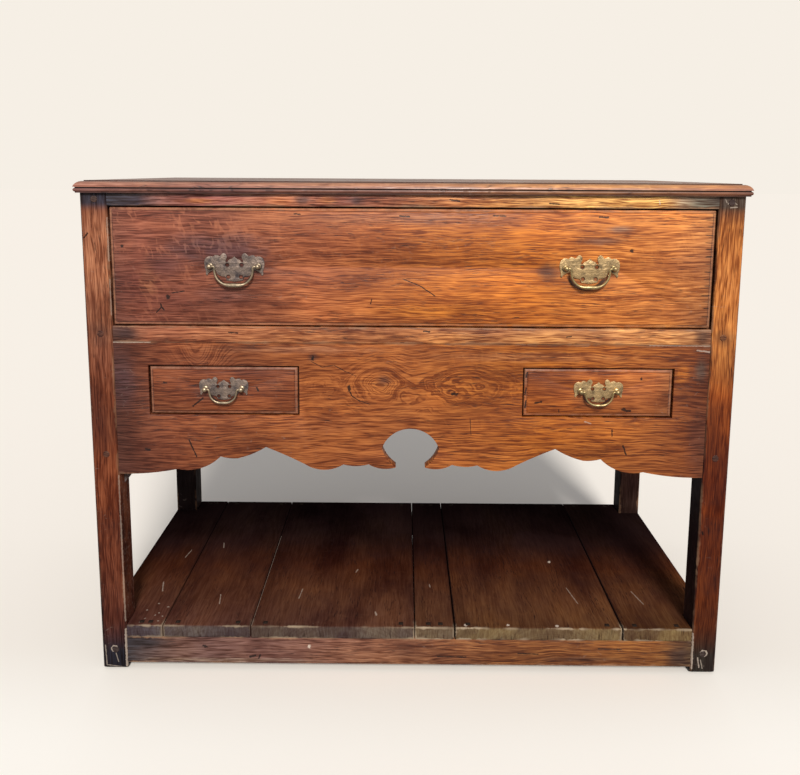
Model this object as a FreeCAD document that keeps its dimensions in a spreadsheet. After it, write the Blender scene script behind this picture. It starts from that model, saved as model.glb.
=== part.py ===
"""Oak lowboy: a moulded top on four square legs, one long drawer above a scrolled
apron with two small drawers in it, and a boarded potboard near the floor.

X runs along the front, Y from front to back, Z up from the floor.  Every piece is
drawn with the front faces of the legs at Y = 0 and then placed so that the middle
of the whole lowboy's outline on the floor is the origin.
"""
import FreeCAD, Part
import math
import os
import re

import Sketcher

Vector = FreeCAD.Vector

SIZES = [
    # the carcass
    ("frame_width", 1070, "over the outer faces of the legs"),
    ("frame_depth", 480, "front face of the front legs to rear face of the back legs"),
    ("frame_height", 830, "floor to the underside of the top"),
    ("leg_size", 44, "side of the square leg"),
    ("leg_round", 6, "worn outer front corner of a front leg"),
    ("leg_arris", 2, "small bevel on the other long corners of a leg"),
    ("foot_bevel", 5, "worn lower edges of the foot"),
    ("rail_depth", 60, "front to back width of the top rail and the drawer rail"),
    ("top_rail_height", 20, "thickness of the rail above the long drawer"),
    ("drawer_opening_height", 197.5, "clear height of the long drawer's opening"),
    ("drawer_rail_height", 26.5, "thickness of the rail below the long drawer"),
    ("apron_height", 227.5, "drawer rail down to the apron's lowest edge"),
    ("board_thickness", 22, "apron and stretchers"),
    ("panel_thickness", 18, "end panels"),
    ("panel_setback", 4, "end panel behind the outer face of the legs"),
    ("panel_rise", 6, "lower edge of the end panels above the apron's lowest edge"),
    ("back_thickness", 15, "back boards"),
    ("back_rebate", 12, "width of the rebate in the back legs"),
    ("back_seam_rise", 236, "joint of the two back boards above their lower edge"),
    # joints of the frame
    ("tenon_thickness", 10, "all tenons of the frame"),
    ("tenon_setback", 10, "outer face of a leg to the cheek of a tenon"),
    ("tenon_shoulder", 4, "height taken off a rail at each edge of its tenon"),
    ("front_tenon_length", 28, "tenons of the front and back rails"),
    ("side_tenon_length", 18, "tenons of the end panels and side stretchers"),
    ("mortise_slack", 1, "free space at the end of a tenon"),
    ("apron_tenon_height", 50, "each of the apron's two tenons"),
    ("apron_tenon_margin", 9, "apron's lower or upper edge to its tenon"),
    ("panel_tenon_height", 110, "each of an end panel's two tenons"),
    ("panel_tenon_margin", 30, "end panel's lower or upper edge to its tenon"),
    ("peg_radius", 5.75, "riven oak pegs"),
    ("peg_fit", 0.05, "peg hole wider than the peg, on the radius"),
    ("peg_length", 24, "depth of a peg in the leg"),
    ("peg_stand", 0.8, "peg proud of the leg"),
    ("peg_setout", 20, "shoulder of a front tenon to the axis of its peg"),
    ("glue_block_width", 14, "corner block behind the apron, at the apron's edge"),
    ("glue_block_drop", 25, "corner block's point below the apron's edge"),
    ("glue_block_rise", 60, "corner block's top above the apron's edge"),
    ("glue_block_bow", 1.5, "hollow of the corner block's curved end"),
    # the top
    ("top_thickness", 20, "both boards of the top"),
    ("top_side_overhang", 6, "top beyond the legs at each end"),
    ("top_front_overhang", 8, "top beyond the legs at the front"),
    ("top_back_overhang", 2, "top beyond the legs at the back"),
    ("top_front_board", 262, "width of the front board of the top"),
    ("thumb_width", 13, "thumb moulding, arris to nose"),
    ("thumb_step", 1.6, "small step at the thumb moulding's inner edge"),
    ("thumb_drop", 9, "height of the thumb moulding's round"),
    ("quirk_depth", 2.5, "groove below the thumb moulding"),
    ("quirk_height", 1.6, "height of the groove"),
    ("bead_height", 6, "half round below the groove"),
    ("bead_setback", 0.1, "bead behind the thumb moulding's nose"),
    # the potboard
    ("potboard_top", 83, "floor to the top of the potboard"),
    ("potboard_thickness", 22, "potboard boards"),
    ("potboard_gap", 1.5, "open joint between two boards"),
    ("potboard_notch_gap", 0.5, "notch of an end board round a leg"),
    ("potboard_round", 3, "worn front edge of the boards"),
    ("stretcher_height", 48, "rails under the potboard"),
    ("stretcher_setback", 1, "stretcher behind the outer face of the legs"),
    ("board_width_1", 107, "first potboard board, from the left"),
    ("board_width_2", 153, "second board"),
    ("board_width_3", 285, "third board"),
    ("board_width_4", 69, "fourth board"),
    ("board_width_5", 291, "fifth board"),
    ("board_width_6", 165, "sixth board"),
    ("nail_shank", 3.5, "side of a cut nail's square shank"),
    ("nail_head", 8, "side of its rose head"),
    ("nail_head_height", 1.2, "height of the head"),
    ("nail_length", 45, "head to point"),
    ("nail_inset", 11, "board's front or back edge to the nails"),
    ("nail_margin", 24, "board's side edge to its nails"),
    # the scrolled apron
    ("scroll_rise", 48.7, "highest point of the scroll above the apron's edge"),
    ("keyhole_neck", 48.8, "gap between the two points under the keyhole"),
    ("keyhole_width", 95.6, "widest part of the keyhole"),
    ("keyhole_shoulder", 47.8, "widest part above the apron's edge"),
    ("keyhole_rise", 82.1, "crown of the keyhole above the apron's edge"),
    ("keyhole_belly", 3.6, "outward curve of the keyhole's lower sides"),
    ("window_width", 250, "small drawer's opening in the apron"),
    ("window_height", 85, "small drawer's opening in the apron"),
    ("window_sill", 103.5, "small opening above the apron's lowest edge"),
    ("window_margin", 56, "leg to the small opening"),
    # drawers
    ("drawer_gap", 2, "drawer front to its opening, at the sides and top"),
    ("drawer_lift", 1.5, "drawer front above the lower edge of its opening"),
    ("runner_clearance", 0.3, "drawer sides above the runners"),
    ("drawer_side_drop", 3, "top of the drawer sides below the top of the front"),
    ("front_thickness", 20, "drawer fronts"),
    ("side_thickness", 11, "drawer sides and backs"),
    ("bottom_thickness", 7, "drawer bottoms"),
    ("groove_depth", 5, "groove for the drawer bottom"),
    ("groove_rise", 8, "lower edge of a drawer side to the groove"),
    ("dovetail_lap", 6, "wood left in front of the half blind dovetails"),
    ("dovetail_slope", 6, "length along the grain for one of spread"),
    ("dovetail_share", 0.54, "narrow end of a tail over the tails' pitch"),
    ("long_back_gap", 25, "back of the long drawer to the back boards"),
    ("small_back_gap", 65, "back of a small drawer to the back boards"),
    ("field_inset", 7, "edge of a drawer front to its raised field"),
    ("field_stand", 1.5, "raised field proud of the thumbed edge"),
    ("front_edge_round", 5, "quarter round on a drawer front's edge"),
    ("runner_height", 22, "runners under the drawers"),
    ("runner_width", 26, "bearing part of a runner"),
    ("guide_width", 20, "guide beside a small drawer"),
    ("guide_height", 14, "guide above the runner's face"),
    ("kicker_width", 30, "strips above the drawer sides"),
    ("small_kicker_height", 24, "strip above a small drawer"),
    ("stop_height", 6, "stop behind the long drawer's front"),
    ("stop_length", 60, "stop along the rail"),
    ("stop_depth", 24, "stop front to back"),
    ("stop_setout", 330, "long drawer's stops from the middle"),
    ("back_stop_rise", 28, "small opening's lower edge to the stop behind its drawer"),
    # handles
    ("long_boring", 78, "distance of a long drawer handle's posts"),
    ("small_boring", 60, "distance of a small drawer handle's posts"),
    ("long_handle_margin", 203.5, "leg to the middle of a long drawer handle"),
    ("long_handle_rise", 100.5, "long drawer's opening up to its posts"),
    ("small_handle_rise", 46.5, "small drawer's opening up to its posts"),
    ("plate_thickness", 1.6, "pierced back plates"),
    ("small_plate_share", 1.09, "small plate drawn larger for its boring than the large one"),
    ("small_plate_lift", 1.8, "small plate set up on its posts"),
    ("post_stand", 9, "drawer's face to the axis of the bail"),
    ("post_ball", 4.2, "radius of a post's faceted ball head"),
    ("post_ball_pare", 2, "bevel round both ends of the ball head"),
    ("post_shank", 2.5, "radius of a post's shank"),
    ("post_bore_gap", 0.1, "hole for the shank, on the radius"),
    ("collar_radius", 4.6, "collar of a post against the plate"),
    ("collar_thickness", 1.4, "collar of a post"),
    ("nut_side", 10, "square nut inside the drawer"),
    ("nut_thickness", 3.5, "square nut inside the drawer"),
    ("post_tail", 1, "post's shank beyond its nut"),
    ("bail_fit", 0.06, "bail's pin in the post, on the radius"),
    ("bail_pin_reach", 3.4, "post's axis to the end of the bail's pin"),
    ("long_bail_radius", 1.7, "rod of the large bail"),
    ("small_bail_radius", 1.4, "rod of the small bail"),
    ("long_bail_inset", 8, "post to the arm of the large bail"),
    ("small_bail_inset", 7.4, "post to the arm of the small bail"),
    ("long_bail_drop", 30.5, "post down to the grip of the large bail"),
    ("small_bail_drop", 22.5, "post down to the grip of the small bail"),
    ("long_bail_curve", 24, "curve from arm to grip of the large bail"),
    ("small_bail_curve", 19, "curve from arm to grip of the small bail"),
    ("knuckle_radius", 2.6, "small bend from a bail's pin to its arm"),
    ("long_grip_swell", 3.3, "half thickness of the large grip's middle"),
    ("small_grip_swell", 1.8, "half thickness of the small grip's middle"),
]

# The scroll from the keyhole's point to the leg, on a grid that is one run long and
# one scroll_rise high: (along, up, dip of the arc that leads to this point).
SCROLL = [
    (0.000, 0.298, 0),
    (0.098, 0.400, 0.107),
    (0.189, 0.388, 0.062),
    (0.329, 0.400, 0.203),
    (0.467, 1.000, -0.020),
    (0.569, 0.583, 0.050),
    (0.631, 0.647, 0.030),
    (0.786, 0.185, 0.210),
    (1.000, 0.000, 0.062),
]

# Right half of a handle's back plate, from its crown to its foot, drawn for a boring
# of 75.
PLATE_BORING = 75
PLATE = [
    (0.0, 15.2),
    (10.9, 7.2),
    (12.0, 5.6),
    (13.4, 8.6),
    (12.0, 15.0),
    (13.4, 18.8),
    (16.1, 20.4),
    (19.2, 19.2),
    (23.6, 14.4),
    (26.2, 16.6),
    (29.3, 17.2),
    (32.2, 16.0),
    (34.2, 13.2),
    (41.1, 13.9),
    (44.0, 12.4),
    (46.6, 9.6),
    (46.8, 2.4),
    (44.4, -15.4),
    (39.6, -10.0),
    (29.4, -6.4),
    (27.4, -11.4),
    (23.0, -15.4),
    (14.2, -18.4),
    (12.6, -23.6),
    (0.0, -24.4),
]
# Piercings of the plate: (x, z, radius).
PLATE_HOLES = [(11.2, 1.8, 2.9), (9.9, -17.0, 2.9)]

HALF = "(frame_width / 2)"
INNER = "(frame_width / 2 - leg_size)"
TOP_RAIL_LOW = "(frame_height - top_rail_height)"
RAIL_HIGH = f"({TOP_RAIL_LOW} - drawer_opening_height)"
APRON_HIGH = f"({RAIL_HIGH} - drawer_rail_height)"
APRON_LOW = f"({APRON_HIGH} - apron_height)"
WINDOW_LOW = f"({APRON_LOW} + window_sill)"
WINDOW_MIDDLE = f"({INNER} - window_margin - window_width / 2)"
PANEL_LOW = f"({APRON_LOW} + panel_rise)"
STRETCHER_HIGH = "(potboard_top - potboard_thickness)"
STRETCHER_LOW = f"({STRETCHER_HIGH} - stretcher_height)"
BACK_INNER = "(frame_depth - back_thickness)"
LONG_DEPTH = f"({BACK_INNER} - long_back_gap)"
SMALL_DEPTH = f"({BACK_INNER} - small_back_gap)"
REACH = "(post_stand + post_ball)"
FRONT_Y = f"(({REACH} - frame_depth - top_back_overhang) / 2)"
LEFT, RIGHT = -1, 1
SIDES = {"left": LEFT, "right": RIGHT}

doc = FreeCAD.newDocument("Lowboy")
sheet = doc.addObject("Spreadsheet::Sheet", "Sizes")
for row, (alias, number, note) in enumerate(SIZES, start=1):
    sheet.set(f"A{row}", alias)
    sheet.set(f"B{row}", str(number))
    sheet.setAlias(f"B{row}", alias)
    sheet.set(f"C{row}", note)
doc.recompute()

ALIASES = {alias for alias, number, note in SIZES}
subparts = []


# ---------------------------------------------------------------- drawing tools
def bound(text):
    """The same expression with each size read from the sheet."""
    return re.sub(
        r"[a-z][a-z_0-9]*",
        lambda word: "Sizes." + word.group() if word.group() in ALIASES else word.group(),
        str(text),
    )


def size(text):
    """The number that an expression on the sheet's sizes gives."""
    return float(sheet.evalExpression(bound(text)))


def place(piece, x="0", y=FRONT_Y, z="0"):
    """Bind the place of a piece."""
    for axis, text in zip("xyz", (x, y, z)):
        if text != "0":
            piece.setExpression(f"Placement.Base.{axis}", bound(text))


def new_body(label, x="0", y=FRONT_Y, z="0"):
    """A body that is one sub-part."""
    body = doc.addObject("PartDesign::Body", label)
    body.Label = label
    place(body, x, y, z)
    subparts.append(body)
    return body


def new_sketch(body, plane, offset="0"):
    """A sketch on one of the body's own origin planes, moved along its normal."""
    sketch = body.newObject("Sketcher::SketchObject", f"{body.Name}_sketch")
    origin_plane = next(f for f in body.Origin.OriginFeatures if f.Role == plane)
    sketch.AttachmentSupport = (origin_plane, [""])
    sketch.MapMode = "FlatFace"
    if offset != "0":
        sketch.setExpression("AttachmentOffset.Base.z", bound(offset))
    return sketch


def bind_datum(sketch, kind, geometry, point, text):
    """A bound distance of a point from the sketch's origin."""
    index = sketch.addConstraint(
        Sketcher.Constraint(kind, -1, 1, geometry, point, size(text))
    )
    sketch.setExpression(f"Constraints[{index}]", bound(text))


def draw_rectangle(sketch, across, up):
    """A rectangle between two pairs of bound distances."""
    low_x, high_x = (size(text) for text in across)
    low_y, high_y = (size(text) for text in up)
    corners = [
        Vector(low_x, low_y, 0),
        Vector(high_x, low_y, 0),
        Vector(high_x, high_y, 0),
        Vector(low_x, high_y, 0),
    ]
    first = sketch.GeometryCount
    for index in range(4):
        line = Part.LineSegment(corners[index], corners[(index + 1) % 4])
        sketch.addGeometry(line, False)
    for index in range(4):
        following = first + (index + 1) % 4
        sketch.addConstraint(
            Sketcher.Constraint("Coincident", first + index, 2, following, 1)
        )
        level = "Horizontal" if index % 2 == 0 else "Vertical"
        sketch.addConstraint(Sketcher.Constraint(level, first + index))
    bind_datum(sketch, "DistanceX", first, 1, across[0])
    bind_datum(sketch, "DistanceY", first, 1, up[0])
    bind_datum(sketch, "DistanceX", first + 2, 1, across[1])
    bind_datum(sketch, "DistanceY", first + 2, 1, up[1])


def draw_eight_sided(sketch, across, up, radius):
    """A regular octagon with two flats upright, as a small pared or filed round."""
    centre_x, centre_y, corner = size(across), size(up), size(radius)
    points = []
    for number in range(8):
        angle = math.pi / 8 + number * math.pi / 4
        points.append(
            (centre_x + corner * math.cos(angle), centre_y + corner * math.sin(angle))
        )
    draw_outline(sketch, points)


def draw_outline(sketch, points):
    """A closed outline: each point is (x, y), or (x, y, middle) with the middle of
    the arc that leads to it."""
    previous = points[-1]
    for point in points:
        start = Vector(previous[0], previous[1], 0)
        end = Vector(point[0], point[1], 0)
        if len(point) == 3:
            middle = Vector(point[2][0], point[2][1], 0)
            sketch.addGeometry(Part.Arc(start, middle, end), False)
        else:
            sketch.addGeometry(Part.LineSegment(start, end), False)
        sketch.addConstraint(Sketcher.Constraint("Block", sketch.GeometryCount - 1))
        previous = point


def feature(body, kind, sketch, length, reverse=False):
    """A pad or pocket of a sketch."""
    made = body.newObject(f"PartDesign::{kind}", f"{body.Name}_{kind.lower()}")
    made.Profile = sketch
    made.setExpression("Length", bound(length))
    made.Reversed = reverse
    return made


def add_block(body, x, y, z):
    """Add the block between three pairs of bound distances."""
    sketch = new_sketch(body, "XY_Plane", z[0])
    draw_rectangle(sketch, x, y)
    return feature(body, "Pad", sketch, f"({z[1]}) - ({z[0]})")


def cut_block(body, x, y, z):
    """Take the block between three pairs of bound distances away."""
    sketch = new_sketch(body, "XY_Plane", z[1])
    draw_rectangle(sketch, x, y)
    return feature(body, "Pocket", sketch, f"({z[1]}) - ({z[0]})")


def bore_back(body, centres, radius, y):
    """Eight sided holes along Y at (x, z), from y[0] back to y[1]."""
    sketch = new_sketch(body, "XZ_Plane", f"-({y[0]})")
    for across, up in centres:
        draw_eight_sided(sketch, across, up, radius)
    return feature(body, "Pocket", sketch, f"({y[1]}) - ({y[0]})")


def bore_across(body, centres, radius, x):
    """Eight sided holes along X at (y, z), from x[0] to x[1]."""
    sketch = new_sketch(body, "YZ_Plane", x[1])
    for across, up in centres:
        draw_eight_sided(sketch, across, up, radius)
    return feature(body, "Pocket", sketch, f"({x[1]}) - ({x[0]})")


def edges_where(shape, test):
    """Names of the shape's edges whose box passes a test."""
    return [
        f"Edge{index}"
        for index, edge in enumerate(shape.Edges, start=1)
        if test(edge.BoundBox)
    ]


def dress(body, kind, bind, text, test):
    """A fillet or chamfer on the edges that pass a test."""
    doc.recompute()
    base = body.Tip
    made = body.newObject(f"PartDesign::{kind}", f"{body.Name}_{kind.lower()}")
    made.Base = (base, edges_where(base.Shape, test))
    made.setExpression(bind, bound(text))
    return made


def upright(box, x=None, y=None):
    """Whether an edge stands straight up, at x and y where they are given."""
    return (
        box.XLength < 0.01
        and box.YLength < 0.01
        and box.ZLength > 1
        and (x is None or abs(box.Center.x - x) < 0.01)
        and (y is None or abs(box.Center.y - y) < 0.01)
    )


def beside(side, near, far):
    """The pair of X distances from near to far on one side of the middle."""
    if side == RIGHT:
        return near, far
    return f"-({far})", f"-({near})"


def from_end(end, near, far):
    """The pair of Y distances from near to far, counted from the front or the back."""
    if end == "front":
        return near, far
    return f"frame_depth - ({far})", f"frame_depth - ({near})"


def copies(label, master, places, x="0", y=FRONT_Y, z="0"):
    """Several separate copies of one master shape as a single sub-part."""
    doc.recompute()
    solids = []
    for spot in places:
        solid = master.Shape.copy()
        solid.Placement = spot.multiply(solid.Placement)
        solids.append(solid)
    group = doc.addObject("Part::Feature", label)
    group.Label = label
    group.Shape = Part.makeCompound(solids)
    place(group, x, y, z)
    subparts.append(group)
    return group


# ------------------------------------------------------------ joints of the frame
RAIL_TENONS = {
    "top_rail": [
        (f"{TOP_RAIL_LOW} + tenon_shoulder", "frame_height - tenon_shoulder"),
    ],
    "drawer_rail": [
        (f"{APRON_HIGH} + tenon_shoulder", f"{RAIL_HIGH} - tenon_shoulder"),
    ],
    "apron": [
        (
            f"{APRON_LOW} + apron_tenon_margin",
            f"{APRON_LOW} + apron_tenon_margin + apron_tenon_height",
        ),
        (
            f"{APRON_HIGH} - apron_tenon_margin - apron_tenon_height",
            f"{APRON_HIGH} - apron_tenon_margin",
        ),
    ],
    "stretcher": [
        (f"{STRETCHER_LOW} + tenon_shoulder", f"{STRETCHER_HIGH} - tenon_shoulder"),
    ],
    "end_panel": [
        (
            f"{PANEL_LOW} + panel_tenon_margin",
            f"{PANEL_LOW} + panel_tenon_margin + panel_tenon_height",
        ),
        (
            "frame_height - panel_tenon_margin - panel_tenon_height",
            "frame_height - panel_tenon_margin",
        ),
    ],
}
CHEEKS = ("tenon_setback", "tenon_setback + tenon_thickness")
PEG_HOLE = "peg_radius + peg_fit"
PEG_X = f"({INNER} + peg_setout)"
SIDE_PEG_Y = "(leg_size - side_tenon_length / 2)"


def middle(pair):
    """The middle of a pair of distances."""
    return f"(({pair[0]}) + ({pair[1]})) / 2"


def end_peg_heights(end):
    """Heights of the pegs through the front or rear face of a leg."""
    stretcher = [middle(RAIL_TENONS["stretcher"][0])]
    if end == "back":
        return stretcher
    rails = [RAIL_TENONS[name][0] for name in ("top_rail", "drawer_rail", "apron")]
    return [middle(pair) for pair in rails] + stretcher


def side_peg_heights():
    """Heights of the pegs through the outer side face of a leg."""
    tenons = RAIL_TENONS["end_panel"] + RAIL_TENONS["stretcher"]
    return [middle(pair) for pair in tenons]


# -------------------------------------------------------------------------- legs
def leg(label, side, end):
    """A square leg with its mortises and peg holes."""
    body = new_body(label)
    add_block(
        body,
        beside(side, INNER, HALF),
        from_end(end, "0", "leg_size"),
        ("0", "frame_height"),
    )
    outer_x = side * size(HALF)
    inner_x = side * size(INNER)
    face_y = 0 if end == "front" else size("frame_depth")
    dress(body, "Chamfer", "Size", "foot_bevel", lambda box: box.ZMax < 0.01)
    dress(
        body, "Fillet", "Radius", "leg_round" if end == "front" else "leg_arris",
        lambda box: upright(box, outer_x, face_y),
    )
    dress(
        body, "Chamfer", "Size", "leg_arris",
        lambda box: upright(box, inner_x, size("leg_size")) or upright(box, inner_x, 0)
        if end == "front" else upright(box, inner_x, size("frame_depth - leg_size")),
    )
    front_rails = ["top_rail", "drawer_rail", "apron", "stretcher"]
    for name in front_rails if end == "front" else ["stretcher"]:
        for heights in RAIL_TENONS[name]:
            cut_block(
                body,
                beside(side, INNER, f"{INNER} + front_tenon_length + mortise_slack"),
                from_end(end, *CHEEKS),
                heights,
            )
    for heights in RAIL_TENONS["end_panel"] + RAIL_TENONS["stretcher"]:
        cut_block(
            body,
            beside(side, *(f"{HALF} - ({cheek})" for cheek in reversed(CHEEKS))),
            from_end(end, "leg_size - side_tenon_length - mortise_slack", "leg_size"),
            heights,
        )
    if end == "back":
        cut_block(
            body,
            beside(side, INNER, f"{INNER} + back_rebate"),
            (BACK_INNER, "frame_depth"),
            (PANEL_LOW, "frame_height"),
        )
    peg_x = beside(side, PEG_X, PEG_X)[0]
    bore_back(
        body,
        [(peg_x, height) for height in end_peg_heights(end)],
        PEG_HOLE,
        from_end(end, "0", "peg_length"),
    )
    peg_y = from_end(end, SIDE_PEG_Y, SIDE_PEG_Y)[0]
    bore_across(
        body,
        [(peg_y, height) for height in side_peg_heights()],
        PEG_HOLE,
        beside(side, f"{HALF} - peg_length", HALF),
    )


for end in ("front", "back"):
    for side_name, side in SIDES.items():
        leg(f"leg_{end}_{side_name}", side, end)


# ------------------------------------------------------- rails along the front and back
def end_tenons(body, name, end="front"):
    """Tenons at both ends of a rail that runs along X, with their peg holes."""
    for side in (LEFT, RIGHT):
        for heights in RAIL_TENONS[name]:
            add_block(
                body,
                beside(side, INNER, f"{INNER} + front_tenon_length"),
                from_end(end, *CHEEKS),
                heights,
            )
    height = middle(RAIL_TENONS[name][0])
    bore_back(
        body,
        [(f"-{PEG_X}", height), (PEG_X, height)],
        PEG_HOLE,
        from_end(end, "0", "peg_length"),
    )


def long_rail(label, name, heights, depth, end="front"):
    """A plain rail between two legs along the front or the back."""
    body = new_body(label)
    add_block(body, (f"-{INNER}", INNER), from_end(end, *depth), heights)
    end_tenons(body, name, end)
    return body


long_rail("top_rail", "top_rail", (TOP_RAIL_LOW, "frame_height"), ("0", "rail_depth"))
long_rail("drawer_rail", "drawer_rail", (APRON_HIGH, RAIL_HIGH), ("0", "rail_depth"))
for end in ("front", "back"):
    long_rail(
        f"stretcher_{end}",
        "stretcher",
        (STRETCHER_LOW, STRETCHER_HIGH),
        ("stretcher_setback", "stretcher_setback + board_thickness"),
        end,
    )


# ------------------------------------------------------------------------- apron
def scroll_points():
    """The apron's lower edge from the left leg to the right leg, keyhole included."""
    low = size(APRON_LOW)
    neck = size("keyhole_neck") / 2
    run = size(INNER) - neck
    rise = size("scroll_rise")
    wide = size("keyhole_width") / 2
    shoulder = low + size("keyhole_shoulder")
    crown = low + size("keyhole_rise")
    belly = size("keyhole_belly")
    half = [(neck + run * along, low + rise * up) for along, up, dip in SCROLL]
    middles = []
    for index in range(1, len(half)):
        (x1, z1), (x2, z2) = half[index - 1], half[index]
        middles.append(((x1 + x2) / 2, (z1 + z2) / 2 - rise * SCROLL[index][2]))
    cheek_run = Vector(wide - neck, shoulder - half[0][1], 0)
    outward = Vector(cheek_run.y, -cheek_run.x, 0).normalize() * belly
    cheek = ((wide + neck) / 2 + outward.x, (shoulder + half[0][1]) / 2 + outward.y)

    points = [(-half[-1][0], half[-1][1])]
    for index in range(len(half) - 2, -1, -1):
        arc = (-middles[index][0], middles[index][1])
        points.append((-half[index][0], half[index][1], arc))
    points.append((-wide, shoulder, (-cheek[0], cheek[1])))
    points.append((wide, shoulder, (0, crown)))
    points.append((half[0][0], half[0][1], cheek))
    for index in range(1, len(half)):
        points.append((half[index][0], half[index][1], middles[index - 1]))
    return points


def apron():
    """The scrolled board with the keyhole and the two drawer openings."""
    body = new_body("apron")
    sketch = new_sketch(body, "XZ_Plane")
    top = size(APRON_HIGH)
    inner = size(INNER)
    draw_outline(sketch, scroll_points() + [(inner, top), (-inner, top)])
    feature(body, "Pad", sketch, "board_thickness", reverse=True)
    for side in (LEFT, RIGHT):
        cut_block(
            body,
            beside(
                side,
                f"{WINDOW_MIDDLE} - window_width / 2",
                f"{WINDOW_MIDDLE} + window_width / 2",
            ),
            ("0", "board_thickness"),
            (WINDOW_LOW, f"{WINDOW_LOW} + window_height"),
        )
    end_tenons(body, "apron")


apron()


def glue_block():
    """The curved corner block behind the apron's left end."""
    body = new_body("glue_block_left")
    sketch = new_sketch(body, "XZ_Plane", "-board_thickness")
    edge = size(APRON_LOW)
    leg_x = -size(INNER)
    wide = size("glue_block_width")
    drop = size("glue_block_drop")
    top = edge + size("glue_block_rise")
    across = Vector(drop, -wide, 0).normalize() * size("glue_block_bow")
    hollow = (leg_x + wide / 2 + across.x, edge - drop / 2 + across.y)
    draw_outline(
        sketch,
        [
            (leg_x, edge - drop),
            (leg_x + wide, edge, hollow),
            (leg_x + wide, top),
            (leg_x, top),
        ],
    )
    feature(body, "Pad", sketch, "leg_size - board_thickness - leg_arris", reverse=True)


glue_block()


# ------------------------------------------------------- end panels and side stretchers
def side_rail(label, side, name, x, heights):
    """A board between a front leg and a back leg, with its tenons and peg holes."""
    body = new_body(label)
    add_block(
        body, beside(side, *x), ("leg_size", "frame_depth - leg_size"), heights
    )
    for end in ("front", "back"):
        for tenon in RAIL_TENONS[name]:
            add_block(
                body,
                beside(side, *(f"{HALF} - ({cheek})" for cheek in reversed(CHEEKS))),
                from_end(end, "leg_size - side_tenon_length", "leg_size"),
                tenon,
            )
    bore_across(
        body,
        [
            (from_end(end, SIDE_PEG_Y, SIDE_PEG_Y)[0], middle(tenon))
            for end in ("front", "back")
            for tenon in RAIL_TENONS[name]
        ],
        PEG_HOLE,
        beside(side, f"{HALF} - peg_length", HALF),
    )


PANEL_INNER = f"({HALF} - panel_setback - panel_thickness)"
for side_name, side in SIDES.items():
    side_rail(
        f"end_panel_{side_name}", side, "end_panel",
        (PANEL_INNER, f"{HALF} - panel_setback"), (PANEL_LOW, "frame_height"),
    )
    side_rail(
        f"stretcher_{side_name}", side, "stretcher",
        (f"{HALF} - stretcher_setback - board_thickness", f"{HALF} - stretcher_setback"),
        (STRETCHER_LOW, STRETCHER_HIGH),
    )

BACK_SEAM = f"({PANEL_LOW} + back_seam_rise)"
for label, heights in {
    "back_board_upper": (BACK_SEAM, "frame_height"),
    "back_board_lower": (PANEL_LOW, BACK_SEAM),
}.items():
    add_block(
        new_body(label),
        (f"-({INNER} + back_rebate)", f"{INNER} + back_rebate"),
        (BACK_INNER, "frame_depth"),
        heights,
    )


# --------------------------------------------------------------------------- top
def mould(body, plane, edge, reach, outward, offset, length):
    """Run the top's moulding along an edge: cut away what lies outside the thumb,
    the quirk and the bead.  edge is where the nose lies and outward the way it faces."""
    high = size("frame_height + top_thickness")
    low = size("frame_height")
    step = high - size("thumb_step")
    inside = edge - outward * size("thumb_width")
    thumb = step - size("thumb_drop")
    quirk = edge - outward * size("quirk_depth")
    bead_top = thumb - size("quirk_height")
    bead_low = bead_top - size("bead_height")
    bead = edge - outward * size("bead_setback")
    bow = math.sqrt(0.5)
    round_x = inside + outward * size("thumb_width") * bow
    round_z = thumb + size("thumb_drop") * bow
    margin = edge + outward * reach
    sketch = new_sketch(body, plane, offset)
    draw_outline(
        sketch,
        [
            (margin, high + reach),
            (inside, high + reach),
            (inside, step),
            (edge, thumb, (round_x, round_z)),
            (quirk, thumb),
            (quirk, bead_top),
            (quirk, bead_low, (bead, (bead_top + bead_low) / 2)),
            (quirk, low - reach),
            (margin, low - reach),
        ],
    )
    feature(body, "Pocket", sketch, length)


TOP_HALF = f"({HALF} + top_side_overhang)"
TOP_JOINT = "(top_front_board - top_front_overhang)"
MOULD_REACH = 5


def top_board(label, y, moulded_front):
    """One board of the top, moulded at its ends and perhaps along its front."""
    body = new_body(label)
    add_block(
        body, (f"-{TOP_HALF}", TOP_HALF), y, ("frame_height", "frame_height + top_thickness")
    )
    for side in (LEFT, RIGHT):
        mould(
            body, "XZ_Plane", side * size(TOP_HALF), MOULD_REACH, side,
            f"-({y[0]})", f"({y[1]}) - ({y[0]})",
        )
    if moulded_front:
        mould(
            body, "YZ_Plane", -size("top_front_overhang"), MOULD_REACH, -1,
            TOP_HALF, f"2 * {TOP_HALF}",
        )


top_board("top_front_board", ("-top_front_overhang", TOP_JOINT), True)
top_board("top_back_board", (TOP_JOINT, "frame_depth + top_back_overhang"), False)


# ---------------------------------------------------------------------- potboard
BOARDS = range(1, 7)
# The boards are trimmed in proportion, so that together they fill the frame.
TRIM = "frame_width / (" + " + ".join(f"board_width_{number}" for number in BOARDS) + ")"
SEAMS = [f"-{HALF}"]
for number in BOARDS[:-1]:
    SEAMS.append(f"({SEAMS[-1]} + board_width_{number} * {TRIM})")
SEAMS.append(HALF)
NAIL_SPOTS = [
    (x, y)
    for number in BOARDS
    for x in (
        f"{SEAMS[number - 1]} + nail_margin + {'leg_size' if number == 1 else 0}",
        f"{SEAMS[number]} - nail_margin - {'leg_size' if number == 6 else 0}",
    )
    for y in ("nail_inset", "frame_depth - nail_inset")
]


def nail_holes(body, spots, heights):
    """Square holes for the cut nails."""
    for x, y in spots:
        cut_block(
            body,
            (f"{x} - nail_shank / 2", f"{x} + nail_shank / 2"),
            (f"{y} - nail_shank / 2", f"{y} + nail_shank / 2"),
            heights,
        )


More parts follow.
